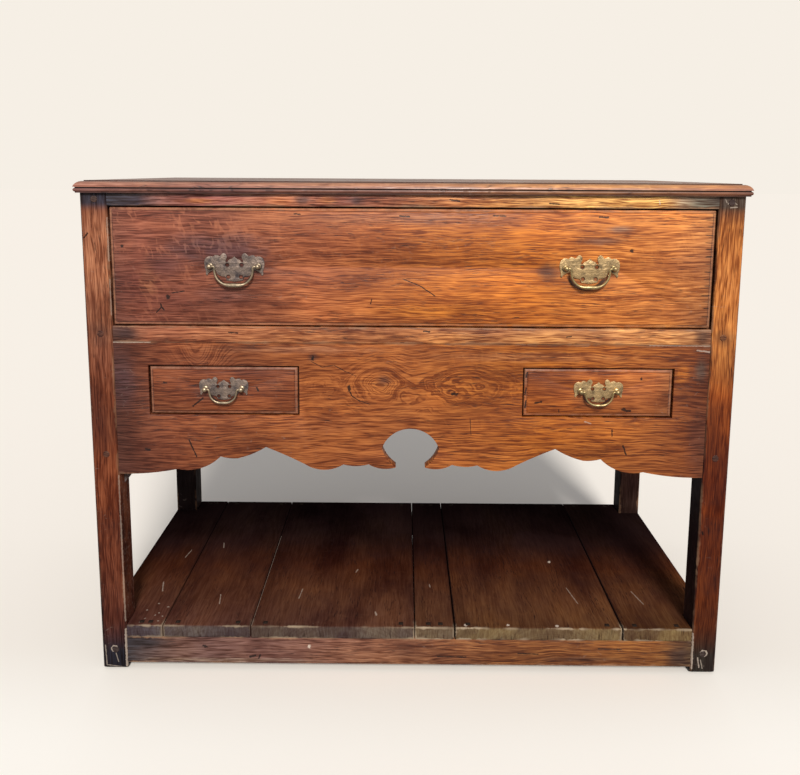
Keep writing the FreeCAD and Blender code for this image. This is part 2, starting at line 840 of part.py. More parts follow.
def potboard(number):
    """One board of the potboard, running from front to back."""
    body = new_body(f"potboard_{number}")
    left = SEAMS[number - 1] if number == 1 else f"{SEAMS[number - 1]} + potboard_gap / 2"
    right = SEAMS[number] if number == 6 else f"{SEAMS[number]} - potboard_gap / 2"
    heights = (STRETCHER_HIGH, "potboard_top")
    add_block(body, (left, right), ("0", "frame_depth"), heights)
    top_z = size("potboard_top")
    dress(
        body, "Fillet", "Radius", "potboard_round",
        lambda box: abs(box.Center.z - top_z) < 0.01 and box.YMax < 0.01,
    )
    if number in (1, 6):
        side = LEFT if number == 1 else RIGHT
        notch = "leg_size + potboard_notch_gap"
        for end in ("front", "back"):
            cut_block(
                body,
                beside(side, f"{HALF} - ({notch})", HALF),
                from_end(end, "0", notch),
                heights,
            )
    nail_holes(body, NAIL_SPOTS[4 * (number - 1) : 4 * number], heights)


for number in BOARDS:
    potboard(number)
for end in ("front", "back"):
    stretcher = next(part for part in subparts if part.Label == f"stretcher_{end}")
    spots = [spot for spot in NAIL_SPOTS if spot[1].startswith("frame") == (end == "back")]
    nail_holes(
        stretcher, spots, ("potboard_top - nail_length", STRETCHER_HIGH)
    )


def nail_master():
    """A cut nail: square shank under a four sided rose head, its top at Z = 0."""
    shank = doc.addObject("Part::Box", "nail_shank_block")
    for side_name in ("Length", "Width"):
        shank.setExpression(side_name, bound("nail_shank"))
    shank.setExpression("Height", bound("nail_length"))
    shank.setExpression("Placement.Base.x", bound("-nail_shank / 2"))
    shank.setExpression("Placement.Base.y", bound("-nail_shank / 2"))
    shank.setExpression("Placement.Base.z", bound("-nail_length"))
    head = doc.addObject("Part::Wedge", "nail_rose_head")
    for low, high, text in (
        ("Xmin", "Xmax", "nail_head / 2"),
        ("Zmin", "Zmax", "nail_head / 2"),
        ("X2min", "X2max", "nail_shank / 4"),
        ("Z2min", "Z2max", "nail_shank / 4"),
    ):
        head.setExpression(low, bound(f"-{text}"))
        head.setExpression(high, bound(text))
    head.Ymin = 0
    head.setExpression("Ymax", bound("nail_head_height"))
    head.Placement.Rotation = FreeCAD.Rotation(Vector(1, 0, 0), 90)
    nail = doc.addObject("Part::Fuse", "nail_master")
    nail.Base = shank
    nail.Tool = head
    return nail


copies(
    "board_nails",
    nail_master(),
    [
        FreeCAD.Placement(Vector(size(x), size(y), size("potboard_top")), FreeCAD.Rotation())
        for x, y in NAIL_SPOTS
    ],
)


# -------------------------------------------------------------------------- pegs
def peg_master():
    """An eight sided peg along Z from its inner end, its pared end proud of the leg."""
    peg = doc.addObject("PartDesign::Body", "peg_master")
    sketch = new_sketch(peg, "XY_Plane")
    draw_eight_sided(sketch, "0", "0", "peg_radius")
    feature(peg, "Pad", sketch, "peg_length + peg_stand")
    end_z = size("peg_length + peg_stand")
    dress(
        peg, "Chamfer", "Size", "peg_stand",
        lambda box: box.ZLength < 0.01 and abs(box.ZMax - end_z) < 0.01,
    )
    return peg


def peg_places():
    """Where each peg stands, its inner end first and its axis pointing outwards."""
    spots = []
    length = size("peg_length")
    depth = size("frame_depth")
    for side in (LEFT, RIGHT):
        for end in ("front", "back"):
            outward = Vector(0, -1 if end == "front" else 1, 0)
            inner_y = length if end == "front" else depth - length
            turn = FreeCAD.Rotation(Vector(0, 0, 1), outward)
            for height in end_peg_heights(end):
                base = Vector(side * size(PEG_X), inner_y, size(height))
                spots.append(FreeCAD.Placement(base, turn))
            peg_y = size(from_end(end, SIDE_PEG_Y, SIDE_PEG_Y)[0])
            turn = FreeCAD.Rotation(Vector(0, 0, 1), Vector(side, 0, 0))
            for height in side_peg_heights():
                base = Vector(side * (size(HALF) - length), peg_y, size(height))
                spots.append(FreeCAD.Placement(base, turn))
    return spots


copies("frame_pegs", peg_master(), peg_places())


# ------------------------------------------------------ runners, kickers and stops
RUNNER_Z = (f"{RAIL_HIGH} - runner_height", RAIL_HIGH)
for side_name, side in SIDES.items():
    runner = new_body(f"long_runner_{side_name}")
    add_block(
        runner, beside(side, f"{INNER} - runner_width", INNER), ("rail_depth", BACK_INNER),
        RUNNER_Z,
    )
    add_block(
        runner, beside(side, INNER, PANEL_INNER), ("rail_depth", "frame_depth - leg_size"),
        (RUNNER_Z[0], f"{RAIL_HIGH} + guide_height"),
    )
    kicker = new_body(f"kicker_{side_name}")
    add_block(
        kicker, beside(side, f"{INNER} - kicker_width", INNER), ("rail_depth", BACK_INNER),
        (TOP_RAIL_LOW, "frame_height"),
    )


def small_runners(label, x):
    """Two runners with their guides and the strip above one small drawer."""
    body = new_body(label, x=x, z=WINDOW_LOW)
    between = ("board_thickness", BACK_INNER)
    opening = "window_width / 2"
    for side in (LEFT, RIGHT):
        add_block(
            body, beside(side, f"{opening} - guide_width", f"{opening} + guide_width"),
            between, ("-runner_height", "0"),
        )
        add_block(
            body, beside(side, opening, f"{opening} + guide_width"),
            between, ("0", "guide_height"),
        )
    add_block(
        body, ("-kicker_width / 2", "kicker_width / 2"), between,
        ("window_height", "window_height + small_kicker_height"),
    )


SMALL_X = {"left": f"-{WINDOW_MIDDLE}", "right": WINDOW_MIDDLE}
for side_name, x in SMALL_X.items():
    small_runners(f"small_{side_name}_runners", x)

stops = new_body("drawer_stops")
for side in (LEFT, RIGHT):
    add_block(
        stops,
        beside(side, "stop_setout", "stop_setout + stop_length"),
        ("front_thickness", "front_thickness + stop_depth"),
        (RAIL_HIGH, f"{RAIL_HIGH} + stop_height"),
    )
    add_block(
        stops,
        beside(
            side,
            f"{WINDOW_MIDDLE} - stop_length / 2",
            f"{WINDOW_MIDDLE} + stop_length / 2",
        ),
        (SMALL_DEPTH, BACK_INNER),
        (f"{WINDOW_LOW} + back_stop_rise", f"{WINDOW_LOW} + back_stop_rise + stop_depth"),
    )


# ----------------------------------------------------------------------- drawers
def tail_edges(height, start, tails, near, far):
    """Outline points of the tails between two depths, from the bottom to the top.
    The tails are narrow at near and wide at far."""
    pitch = (height - start) / tails
    spread = abs(far - near) / size("dovetail_slope")
    neck = pitch * size("dovetail_share") / 2
    points = []
    for number in range(tails):
        centre = start + pitch * (number + 0.5)
        points += [
            (near, centre - neck),
            (far, centre - neck - spread),
            (far, centre + neck + spread),
            (near, centre + neck),
        ]
    return points


def thumb_edge(front, plane, edge, outward, offset, length):
    """Quarter round along one edge of a drawer front.  In the sketch Y runs into the
    wood and the other axis across the edge, which faces outward."""
    face = size("field_stand")
    radius = size("front_edge_round")
    bow = radius * (1 - math.sqrt(0.5))
    inside = edge - outward * radius
    beyond = edge + outward * radius
    profile = [
        (inside, face),
        (edge, face + radius, (edge - outward * bow, face + bow)),
        (beyond, face + radius),
        (beyond, face - radius),
        (inside, face - radius),
    ]
    if plane == "YZ_Plane":
        profile = [(point[1], point[0], *(mid[::-1] for mid in point[2:])) for point in profile]
    sketch = new_sketch(front, plane, offset)
    draw_outline(sketch, profile)
    feature(front, "Pocket", sketch, length)


def drawer(prefix, width, height, depth, tails, handles, boring, rise, x, z):
    """Five boards of a dovetailed drawer.  width and height are its opening's."""
    half = f"(({width}) / 2 - drawer_gap)"
    high = f"(({height}) - drawer_gap)"
    side_high = f"({high} - drawer_side_drop)"
    groove_low = "(runner_clearance + groove_rise)"
    groove_high = f"({groove_low} + bottom_thickness)"
    cheek = f"({half} - side_thickness)"
    slot = f"({cheek} + groove_depth)"
    back_y = f"({depth} - side_thickness)"
    start = size("runner_clearance")
    front_tails = tail_edges(
        size(side_high), start, tails, size("front_thickness"), size("dovetail_lap")
    )
    back_tails = tail_edges(size(side_high), start, tails, size(back_y), size(depth))
    spots = [
        f"{centre} + {side} * {boring} / 2" for centre in handles for side in (LEFT, RIGHT)
    ]

    front = new_body(f"{prefix}_front", x=x, z=z)
    add_block(
        front, (f"-{half}", half), ("field_stand", "front_thickness"), ("drawer_lift", high)
    )
    half_x = size(half)
    for side in (LEFT, RIGHT):
        thumb_edge(front, "XY_Plane", side * half_x, side, high, high)
    for edge, outward in (("drawer_lift", -1), (high, 1)):
        thumb_edge(front, "YZ_Plane", size(edge), outward, half, f"2 * {half}")
    add_block(
        front,
        (f"-({half} - field_inset)", f"{half} - field_inset"),
        ("0", "field_stand"),
        ("drawer_lift + field_inset", f"{high} - field_inset"),
    )
    for side in (LEFT, RIGHT):
        offset = beside(side, cheek, half)[1]
        for number in range(tails):
            sketch = new_sketch(front, "YZ_Plane", offset)
            draw_outline(sketch, front_tails[4 * number : 4 * number + 4])
            feature(front, "Pocket", sketch, "side_thickness")
    cut_block(
        front, (f"-{slot}", slot), ("front_thickness - groove_depth", "front_thickness"),
        (groove_low, groove_high),
    )
    bore_back(
        front, [(spot, rise) for spot in spots], "post_shank + post_bore_gap",
        ("0", "front_thickness"),
    )

    for side_name, side in SIDES.items():
        body = new_body(f"{prefix}_side_{side_name}", x=x, z=z)
        sketch = new_sketch(body, "YZ_Plane", beside(side, cheek, half)[0])
        near, far = size("front_thickness"), size(back_y)
        low, top = start, size(side_high)
        outline = [(near, low), (far, low)] + back_tails + [(far, top), (near, top)]
        draw_outline(sketch, outline + front_tails[::-1])
        feature(body, "Pad", sketch, "side_thickness")
        cut_block(
            body, beside(side, cheek, slot), ("0", depth), (groove_low, groove_high)
        )

    back = new_body(f"{prefix}_back", x=x, z=z)
    add_block(back, (f"-{half}", half), (back_y, depth), (groove_high, side_high))
    for side in (LEFT, RIGHT):
        offset = beside(side, cheek, half)[1]
        for number in range(tails):
            sketch = new_sketch(back, "YZ_Plane", offset)
            draw_outline(sketch, back_tails[4 * number : 4 * number + 4])
            feature(back, "Pocket", sketch, "side_thickness")

    bottom = new_body(f"{prefix}_bottom", x=x, z=z)
    add_block(
        bottom, (f"-{slot}", slot), ("front_thickness - groove_depth", depth),
        (groove_low, groove_high),
    )


LONG_HANDLE_X = f"({INNER} - long_handle_margin)"
drawer(
    "long_drawer", f"2 * {INNER}", "drawer_opening_height", LONG_DEPTH, 3,
    [f"-{LONG_HANDLE_X}", LONG_HANDLE_X], "long_boring", "long_handle_rise", "0", RAIL_HIGH,
)
for side_name, x in SMALL_X.items():
    drawer(
        f"small_{side_name}_drawer", "window_width", "window_height", SMALL_DEPTH, 2,
        ["0"], "small_boring", "small_handle_rise", x, WINDOW_LOW,
    )


# ----------------------------------------------------------------------- handles
def back_plate(label, boring, share, lift, x, z):
    """A pierced back plate, its posts' axes at Z = 0."""
    scale = size(f"{boring} * {share}") / PLATE_BORING
    rise = size(lift)
    right = [(px * scale, pz * scale + rise) for px, pz in PLATE]
    left = [(-px, pz) for px, pz in right[-2:0:-1]]
    body = new_body(label, x=x, z=z)
    sketch = new_sketch(body, "XZ_Plane")
    draw_outline(sketch, right + left)
    feature(body, "Pad", sketch, "plate_thickness")
    piercings = [
        (side * hole_x * scale, hole_z * scale + rise, radius * scale)
        for hole_x, hole_z, radius in PLATE_HOLES
        for side in (LEFT, RIGHT)
    ]
    shanks = [
        (f"{side} * {boring} / 2", "0", "post_shank + post_bore_gap") for side in (LEFT, RIGHT)
    ]
    sketch = new_sketch(body, "XZ_Plane", "plate_thickness")
    for across, up, radius in piercings + shanks:
        draw_eight_sided(sketch, across, up, radius)
    feature(body, "Pocket", sketch, "plate_thickness")


def post_master(name, rod):
    """A post with its eye for the bail, the drawer's face at Y = 0."""
    body = doc.addObject("PartDesign::Body", f"{name}_post_master")
    sketch = new_sketch(body, "XZ_Plane", "post_stand - post_ball")
    draw_eight_sided(sketch, "0", "0", "post_ball")
    feature(body, "Pad", sketch, "2 * post_ball")
    dress(body, "Chamfer", "Size", "post_ball_pare", lambda box: box.YLength < 0.01)
    for radius, near, far in (
        ("post_shank", "-post_stand", "front_thickness + nut_thickness + post_tail"),
        ("collar_radius", "-(plate_thickness + collar_thickness)", "-plate_thickness"),
    ):
        sketch = new_sketch(body, "XZ_Plane", f"-({near})")
        draw_eight_sided(sketch, "0", "0", radius)
        feature(body, "Pad", sketch, f"({far}) - ({near})", reverse=True)
    bore_across(
        body, [("-post_stand", "0")], f"({rod} + bail_fit) / {math.cos(math.pi / 8):.4f}",
        ("-2 * post_ball", "2 * post_ball"),
    )
    return body


def nut_master():
    """A square nut against the inside of the drawer front."""
    body = doc.addObject("PartDesign::Body", "nut_master")
    add_block(
        body, ("-nut_side / 2", "nut_side / 2"),
        ("front_thickness", "front_thickness + nut_thickness"),
        ("-nut_side / 2", "nut_side / 2"),
    )
    bore_back(
        body, [("0", "0")], "post_shank + post_bore_gap",
        ("front_thickness", "front_thickness + nut_thickness"),
    )
    return body


def handle_posts(label, post, nut, boring, centres, z):
    """The posts and nuts of one drawer's handles as one group."""
    spots = []
    for x in centres:
        for side in (LEFT, RIGHT):
            at = Vector(size(f"{x} + {side} * {boring} / 2"), 0, size(z))
            spots.append(FreeCAD.Placement(at, FreeCAD.Rotation()))
    doc.recompute()
    pair = doc.addObject("Part::Compound", f"{label}_pair")
    pair.Links = [post, nut]
    copies(label, pair, spots)


# How far the swelled grip runs into the bends beside it, as a share of their radius,
# how long its tapered ends are, as a share of half its length, and the straight steps
# in which each bend is forged.
GRIP_REACH = 0.25
GRIP_TAPER = 0.7
BEND_STEPS = 3


def bail(label, boring, rod, inset, drop, curve, swell, x, z):
    """A bail hanging from its posts: turned out pins, curved arms and a swelled grip."""
    half = size(boring) / 2
    arm = half - size(inset)
    knuckle = size("knuckle_radius")
    low = -size(drop)
    bend = size(curve)
    pin = half + size("bail_pin_reach")
    grip = arm - bend
    body = new_body(label, x=x, y=f"{FRONT_Y} - post_stand", z=z)
    reach = grip + bend * GRIP_REACH
    section = new_sketch(body, "YZ_Plane", str(-reach))
    draw_eight_sided(section, "0", str(low - size(f"{swell} - {rod}")), swell)
    feature(body, "Pad", section, str(2 * reach))
    ends = dress(body, "Chamfer", "Size", reach * GRIP_TAPER, lambda box: box.XLength < 0.01)
    ends.ChamferType = "Two distances"
    ends.setExpression("Size2", bound(f"{swell} - {rod}"))
    path = new_sketch(body, "XZ_Plane")
    half_path = [(pin, 0), (arm + knuckle, 0), (arm, -knuckle)]
    for step in range(BEND_STEPS + 1):
        turn = math.pi / 2 * step / BEND_STEPS
        half_path.append((grip + bend * math.cos(turn), low + bend * (1 - math.sin(turn))))
    points = [Vector(-px, pz, 0) for px, pz in half_path]
    points += [Vector(px, pz, 0) for px, pz in reversed(half_path)]
    for start, end in zip(points, points[1:]):
        path.addGeometry(Part.LineSegment(start, end), False)
    section = new_sketch(body, "YZ_Plane", str(-pin))
    draw_eight_sided(section, "0", "0", rod)
    pipe = body.newObject("PartDesign::AdditivePipe", f"{label}_rod")
    pipe.Profile = section
    pipe.Spine = (path, [""])
    pipe.Transition = "Right corner"


long_post = post_master("long", "long_bail_radius")
small_post = post_master("small", "small_bail_radius")
nut = nut_master()
LONG_Z = f"({RAIL_HIGH} + long_handle_rise)"
SMALL_Z = f"({WINDOW_LOW} + small_handle_rise)"
LONG_X = {"left": f"-{LONG_HANDLE_X}", "right": LONG_HANDLE_X}
for side_name, x in LONG_X.items():
    back_plate(f"long_plate_{side_name}", "long_boring", "1", "0", x, LONG_Z)
    bail(
        f"long_bail_{side_name}", "long_boring", "long_bail_radius", "long_bail_inset",
        "long_bail_drop", "long_bail_curve", "long_grip_swell", x, LONG_Z,
    )
handle_posts("long_posts", long_post, nut, "long_boring", LONG_X.values(), LONG_Z)
for side_name, x in SMALL_X.items():
    back_plate(
        f"small_plate_{side_name}", "small_boring", "small_plate_share", "small_plate_lift",
        x, SMALL_Z,
    )
    bail(
        f"small_bail_{side_name}", "small_boring", "small_bail_radius", "small_bail_inset",
        "small_bail_drop", "small_bail_curve", "small_grip_swell", x, SMALL_Z,
    )
    handle_posts(f"small_{side_name}_posts", small_post, nut, "small_boring", [x], SMALL_Z)


# ------------------------------------------------------------------ check and write
doc.recompute()
for item in doc.Objects:
    if {"Invalid", "Error"} & set(item.State):
        raise RuntimeError(f"{item.Label}: {item.State}")
    if item.isDerivedFrom("PartDesign::Pocket"):
        removed = item.BaseFeature.Shape.Volume - item.Shape.Volume
        if removed <= 0:
            raise RuntimeError(f"{item.Label} cuts nothing")
os.makedirs("parts", exist_ok=True)
for part in subparts:
    shape = part.Shape
    if shape.isNull() or not shape.isValid():
        raise RuntimeError(f"{part.Label} is not a valid shape")
    shape.exportStep(f"parts/{part.Label}.step")
print(f"{len(subparts)} sub-parts")
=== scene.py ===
"""An old oak lowboy: a moulded top on four square legs, one long drawer over a
scrolled apron with two small drawers, and a boarded potboard near the floor.

The sections follow the piece as a joiner would put it together."""
import bpy
import math
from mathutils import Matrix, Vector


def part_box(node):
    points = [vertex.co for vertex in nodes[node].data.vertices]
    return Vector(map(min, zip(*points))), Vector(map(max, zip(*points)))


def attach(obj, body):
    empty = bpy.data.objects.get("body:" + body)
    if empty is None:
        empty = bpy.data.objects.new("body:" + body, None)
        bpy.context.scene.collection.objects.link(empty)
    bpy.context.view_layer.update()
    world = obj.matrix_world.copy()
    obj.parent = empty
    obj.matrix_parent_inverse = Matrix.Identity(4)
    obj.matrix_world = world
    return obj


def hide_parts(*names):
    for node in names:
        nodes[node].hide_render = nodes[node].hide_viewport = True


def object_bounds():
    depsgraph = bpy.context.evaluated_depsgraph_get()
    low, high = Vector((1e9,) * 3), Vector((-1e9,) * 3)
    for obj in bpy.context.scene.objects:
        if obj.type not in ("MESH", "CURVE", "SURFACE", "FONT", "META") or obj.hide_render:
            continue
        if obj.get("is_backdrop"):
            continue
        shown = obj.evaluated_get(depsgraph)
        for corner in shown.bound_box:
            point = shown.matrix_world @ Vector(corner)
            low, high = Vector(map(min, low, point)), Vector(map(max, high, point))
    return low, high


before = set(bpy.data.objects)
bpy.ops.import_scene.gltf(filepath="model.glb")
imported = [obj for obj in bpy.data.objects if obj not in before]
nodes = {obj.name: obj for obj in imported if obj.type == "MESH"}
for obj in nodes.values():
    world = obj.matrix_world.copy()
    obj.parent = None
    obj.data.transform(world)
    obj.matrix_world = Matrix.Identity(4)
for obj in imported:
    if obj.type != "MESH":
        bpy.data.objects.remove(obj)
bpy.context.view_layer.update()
bpy.ops.object.select_all(action="DESELECT")

# ------------------------------------------------------------------ stand and light
# The lowboy stands on a plain pale floor in a studio.  A soft lamp in front, a little
# to the right, lights it; the room adds an even pale light from all sides.
ROOM = (0.922, 0.864, 0.784)
ROOM_GLOW = (0.93, 0.95, 1.0)
ROOM_STRENGTH = 0.41
FLOOR_SIZE = 60
FLOOR_TONE = (0.956, 0.891, 0.805)
FLOOR_FRONT = (1.035, 0.995, 0.917)
FLOOR_BOUNCE = (0.4, 0.38, 0.35)
FRONT_BEGINS, FRONT_FULL = -0.15, -0.42
CAMERA_PLACE = (-0.015, -1.4072, 0.8669)
CAMERA_TURN = (82.4269, -0.3351, 0.2526)
LAMP_TURN = (52, 0, 8)
LAMP_POWER = 3.05
LAMP_SOFTNESS = 13
LAMP_TONE = (1.0, 0.985, 0.96)
scene = bpy.context.scene
scene.view_settings.view_transform = "Standard"


def in_radians(turns):
    """Three turns in degrees, for Blender."""
    return [math.radians(turn) for turn in turns]


bpy.ops.object.camera_add(location=CAMERA_PLACE, rotation=in_radians(CAMERA_TURN))
camera = bpy.context.object
camera.data.lens = 32.85
camera.data.shift_y = -0.149
camera.data.clip_end = FLOOR_SIZE
scene.camera = camera


def add_node(tree, kind, values=(), **settings):
    """A node with its settings and, by socket, its values or links."""
    made = tree.nodes.new(kind)
    for name, setting in settings.items():
        setattr(made, name, setting)
    for socket, value in dict(values).items():
        if isinstance(value, bpy.types.NodeSocket):
            tree.links.new(value, made.inputs[socket])
        else:
            made.inputs[socket].default_value = value
    return made


def calc(tree, operation, first, second=0.0, clamp=False):
    """One step of arithmetic."""
    return add_node(
        tree, "ShaderNodeMath", {0: first, 1: second}, operation=operation, use_clamp=clamp,
    ).outputs[0]


def mix_colour(tree, share, first, second, kind="MIX"):
    """Two colours mixed by a share."""
    return add_node(
        tree, "ShaderNodeMix", {0: share, 6: first, 7: second}, data_type="RGBA", blend_type=kind,
    ).outputs[2]


def new_finish(name):
    """A material with nothing in it yet: itself, its node tree and the place on the piece."""
    material = bpy.data.materials.new(name)
    material.use_nodes = True
    tree = material.node_tree
    tree.nodes.clear()
    return material, tree, add_node(tree, "ShaderNodeTexCoord").outputs["Object"]


world = bpy.data.worlds.new("studio")
scene.world = world
world.use_nodes = True
tree = world.node_tree
tree.nodes.clear()
path = add_node(tree, "ShaderNodeLightPath")
seen = calc(tree, "MAXIMUM", path.outputs["Is Camera Ray"], path.outputs["Is Glossy Ray"])
seen = calc(tree, "MAXIMUM", seen, path.outputs["Is Transmission Ray"])
glow = add_node(tree, "ShaderNodeBackground", {"Color": (*ROOM_GLOW, 1), "Strength": ROOM_STRENGTH})
wall = add_node(tree, "ShaderNodeBackground", {"Color": (*ROOM, 1), "Strength": 1.0})
shown = add_node(tree, "ShaderNodeMixShader", {0: seen, 1: glow.outputs[0], 2: wall.outputs[0]})
add_node(tree, "ShaderNodeOutputWorld", {"Surface": shown.outputs[0]})

bpy.ops.mesh.primitive_plane_add(size=FLOOR_SIZE)
floor = bpy.context.object
floor.name = "studio_floor"
paper, tree, here = new_finish("studio_paper")
floor.data.materials.append(paper)
path = add_node(tree, "ShaderNodeLightPath")
depth = add_node(tree, "ShaderNodeSeparateXYZ", {0: here}).outputs[1]
near = add_node(
    tree, "ShaderNodeMapRange", {"Value": depth, "From Min": FRONT_BEGINS, "From Max": FRONT_FULL},
    interpolation_type="SMOOTHSTEP",
).outputs["Result"]
lit = mix_colour(tree, near, (*FLOOR_TONE, 1), (*FLOOR_FRONT, 1))
tone = mix_colour(tree, path.outputs["Is Camera Ray"], (*FLOOR_BOUNCE, 1), lit)
matt = add_node(tree, "ShaderNodeBsdfDiffuse", {"Color": tone})
add_node(tree, "ShaderNodeOutputMaterial", {"Surface": matt.outputs[0]})
floor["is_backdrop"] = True

bpy.ops.object.light_add(type="SUN", rotation=in_radians(LAMP_TURN))
lamp = bpy.context.object
lamp.data.energy = LAMP_POWER
lamp.data.angle = math.radians(LAMP_SOFTNESS)
lamp.data.color = LAMP_TONE


# ------------------------------------------------------------------ the four legs
# Four square legs of riven oak, their grain upright, run from the floor to the top.
# The rails are tenoned into them.  The feet are near black and the tones darken towards
# the floor, partly dirt and partly painted shade of a light from above; age has worn the arrises.


def plus(tree, first, second, clamp=False):
    """Two values added."""
    return calc(tree, "ADD", first, second, clamp)


def minus(tree, first, second, clamp=False):
    """One value less another."""
    return calc(tree, "SUBTRACT", first, second, clamp)


def times(tree, first, second, clamp=False):
    """Two values multiplied."""
    return calc(tree, "MULTIPLY", first, second, clamp)


def vector_calc(tree, operation, first, second=(0, 0, 0), out="Vector"):
    """One step of arithmetic with places."""
    return add_node(
        tree, "ShaderNodeVectorMath", {0: first, 1: second}, operation=operation,
    ).outputs[out]


def split(tree, place):
    """A place taken apart into its three measures."""
    return add_node(tree, "ShaderNodeSeparateXYZ", {0: place}).outputs


def roll(tree, place, degrees):
    """A place turned about the axis that goes into the front."""
    return add_node(
        tree, "ShaderNodeVectorRotate",
        {"Vector": place, "Axis": (0, 1, 0), "Angle": math.radians(degrees)}, rotation_type="AXIS_ANGLE",
    ).outputs[0]


def start_effect(name, places, numbers):
    """A new effect that several finishes share, and what it is given."""
    effect = bpy.data.node_groups.new(name, "ShaderNodeTree")
    for names, kind in ((places, "NodeSocketVector"), (numbers, "NodeSocketFloat")):
        for socket in names:
            effect.interface.new_socket(socket, in_out="INPUT", socket_type=kind)
    return effect, effect.nodes.new("NodeGroupInput").outputs


def end_effect(effect, **values):
    """Names what an effect gives back, and returns the effect."""
    for name in values:
        effect.interface.new_socket(name, in_out="OUTPUT", socket_type="NodeSocketFloat")
    out = effect.nodes.new("NodeGroupOutput")
    for name, value in values.items():
        effect.links.new(value, out.inputs[name])
    return effect


def use_effect(tree, effect, values):
    """An effect placed in a finish with its own values."""
    return add_node(tree, "ShaderNodeGroup", values, node_tree=effect).outputs


# Old oak: growth lines that follow the figure, open pores, ray flecks and blotches.
# The grain runs along X of the vector, Y goes into the board and Z across it.
tree, given = start_effect(
    "old_oak", ("Vector",), ("Seed", "Lines", "Figure", "Heart", "Depth", "Tilt", "Wander"),
)
shift = add_node(tree, "ShaderNodeCombineXYZ", {
    0: times(tree, given["Seed"], 1.37),
    1: times(tree, given["Seed"], 0.71),
    2: times(tree, given["Seed"], 2.13),
}).outputs[0]
place = vector_calc(tree, "ADD", given["Vector"], shift)


def stretched_noise(tree, vector, along, deep, across, detail, rough=0.5, distort=0.0):
    """Noise drawn out along the grain; the three numbers are counts per metre."""
    scaled = add_node(
        tree, "ShaderNodeVectorMath", {0: vector, 1: (along, deep, across)}, operation="MULTIPLY",
    )
    return add_node(
        tree, "ShaderNodeTexNoise",
        {
            "Vector": scaled.outputs[0], "Scale": 1.0, "Detail": detail, "Roughness": rough,
            "Distortion": distort,
        },
    ).outputs["Fac"]


def spread(tree, value, low, high, to_low=0.0, to_high=1.0, smooth=False):
    """A value stretched from one range to another and held inside it."""
    return add_node(
        tree, "ShaderNodeMapRange",
        {"Value": value, "From Min": low, "From Max": high, "To Min": to_low, "To Max": to_high},
        interpolation_type="SMOOTHSTEP" if smooth else "LINEAR",
    ).outputs["Result"]


parts = split(tree, given["Vector"])
slow = minus(tree, stretched_noise(tree, place, 1.6, 3.0, 4.0, 2), 0.5)
wave = minus(tree, stretched_noise(tree, place, 12.0, 10.0, 16.0, 1), 0.5)
flow = plus(tree, parts[2], times(tree, slow, times(tree, given["Wander"], 4.0)))
flow = plus(tree, flow, times(tree, wave, times(tree, given["Wander"], 2.5)))
across = minus(tree, flow, given["Heart"])
deep = plus(tree, given["Depth"], plus(tree, parts[1], times(tree, parts[0], given["Tilt"])))
ring = calc(tree, "SQRT", plus(tree, times(tree, across, across), times(tree, deep, deep)))
along = plus(tree, parts[0], times(tree, given["Seed"], 3.7))


def line_noise(along_count, across_place, across_count, detail, rough):
    """Noise laid in the growth lines, so that it follows their figure."""
    spot = add_node(tree, "ShaderNodeCombineXYZ", {
        0: times(tree, along, along_count),
        1: times(tree, parts[1], 40.0),
        2: times(tree, across_place, times(tree, given["Lines"], across_count)),
    }).outputs[0]
    return add_node(
        tree, "ShaderNodeTexNoise", {"Vector": spot, "Scale": 1.0, "Detail": detail, "Roughness": rough},
    ).outputs["Fac"]


def thin_lines(value, sharp):
    """Dark lines where a noise passes its middle: 0 on the line, 1 away from it."""
    return times(tree, calc(tree, "ABSOLUTE", minus(tree, value, 0.5)), sharp, clamp=True)


streaks = thin_lines(line_noise(10.0, flow, 0.47, 1.0, 0.7), 11.0)
ring_lines = thin_lines(line_noise(3.0, ring, 0.5, 1.0, 0.6), 9.0)
pale_lines = thin_lines(line_noise(16.0, plus(tree, flow, 0.731), 0.55, 1.0, 0.7), 11.0)
fibres = line_noise(32.0, flow, 0.95, 1.0, 0.6)
bands = line_noise(9.0, flow, 0.12, 1.0, 0.5)
pore_lines = line_noise(60.0, flow, 1.6, 1.0, 0.5)
grain = add_node(tree, "ShaderNodeMix", {0: given["Figure"], 2: streaks, 3: ring_lines}).outputs[0]
grain = minus(tree, times(tree, grain, 0.85), times(tree, pale_lines, 0.45))
grain = plus(tree, grain, times(tree, minus(tree, fibres, 0.5), 1.2))
grain = plus(tree, grain, times(tree, minus(tree, bands, 0.5), 0.5))
grain = plus(tree, grain, 0.2, clamp=True)
pores = times(tree, spread(tree, pore_lines, 0.4, 0.3), spread(tree, bands, 0.6, 0.4))
fleck_field = stretched_noise(tree, roll(tree, place, -72), 52.0, 60.0, 95.0, 0, 0.5, 0.8)
fleck_zone = stretched_noise(tree, place, 7.0, 8.0, 12.0, 2)
flecks = times(
    tree, spread(tree, fleck_field, 0.6, 0.8, smooth=True), spread(tree, fleck_zone, 0.38, 0.56),
)
blotch = stretched_noise(tree, place, 5.0, 9.0, 12.0, 4, 0.55)
height = minus(tree, times(tree, grain, 0.35), times(tree, pores, 0.8))
old_oak = end_effect(tree, Grain=grain, Pores=pores, Flecks=flecks, Blotch=blotch, Height=height)
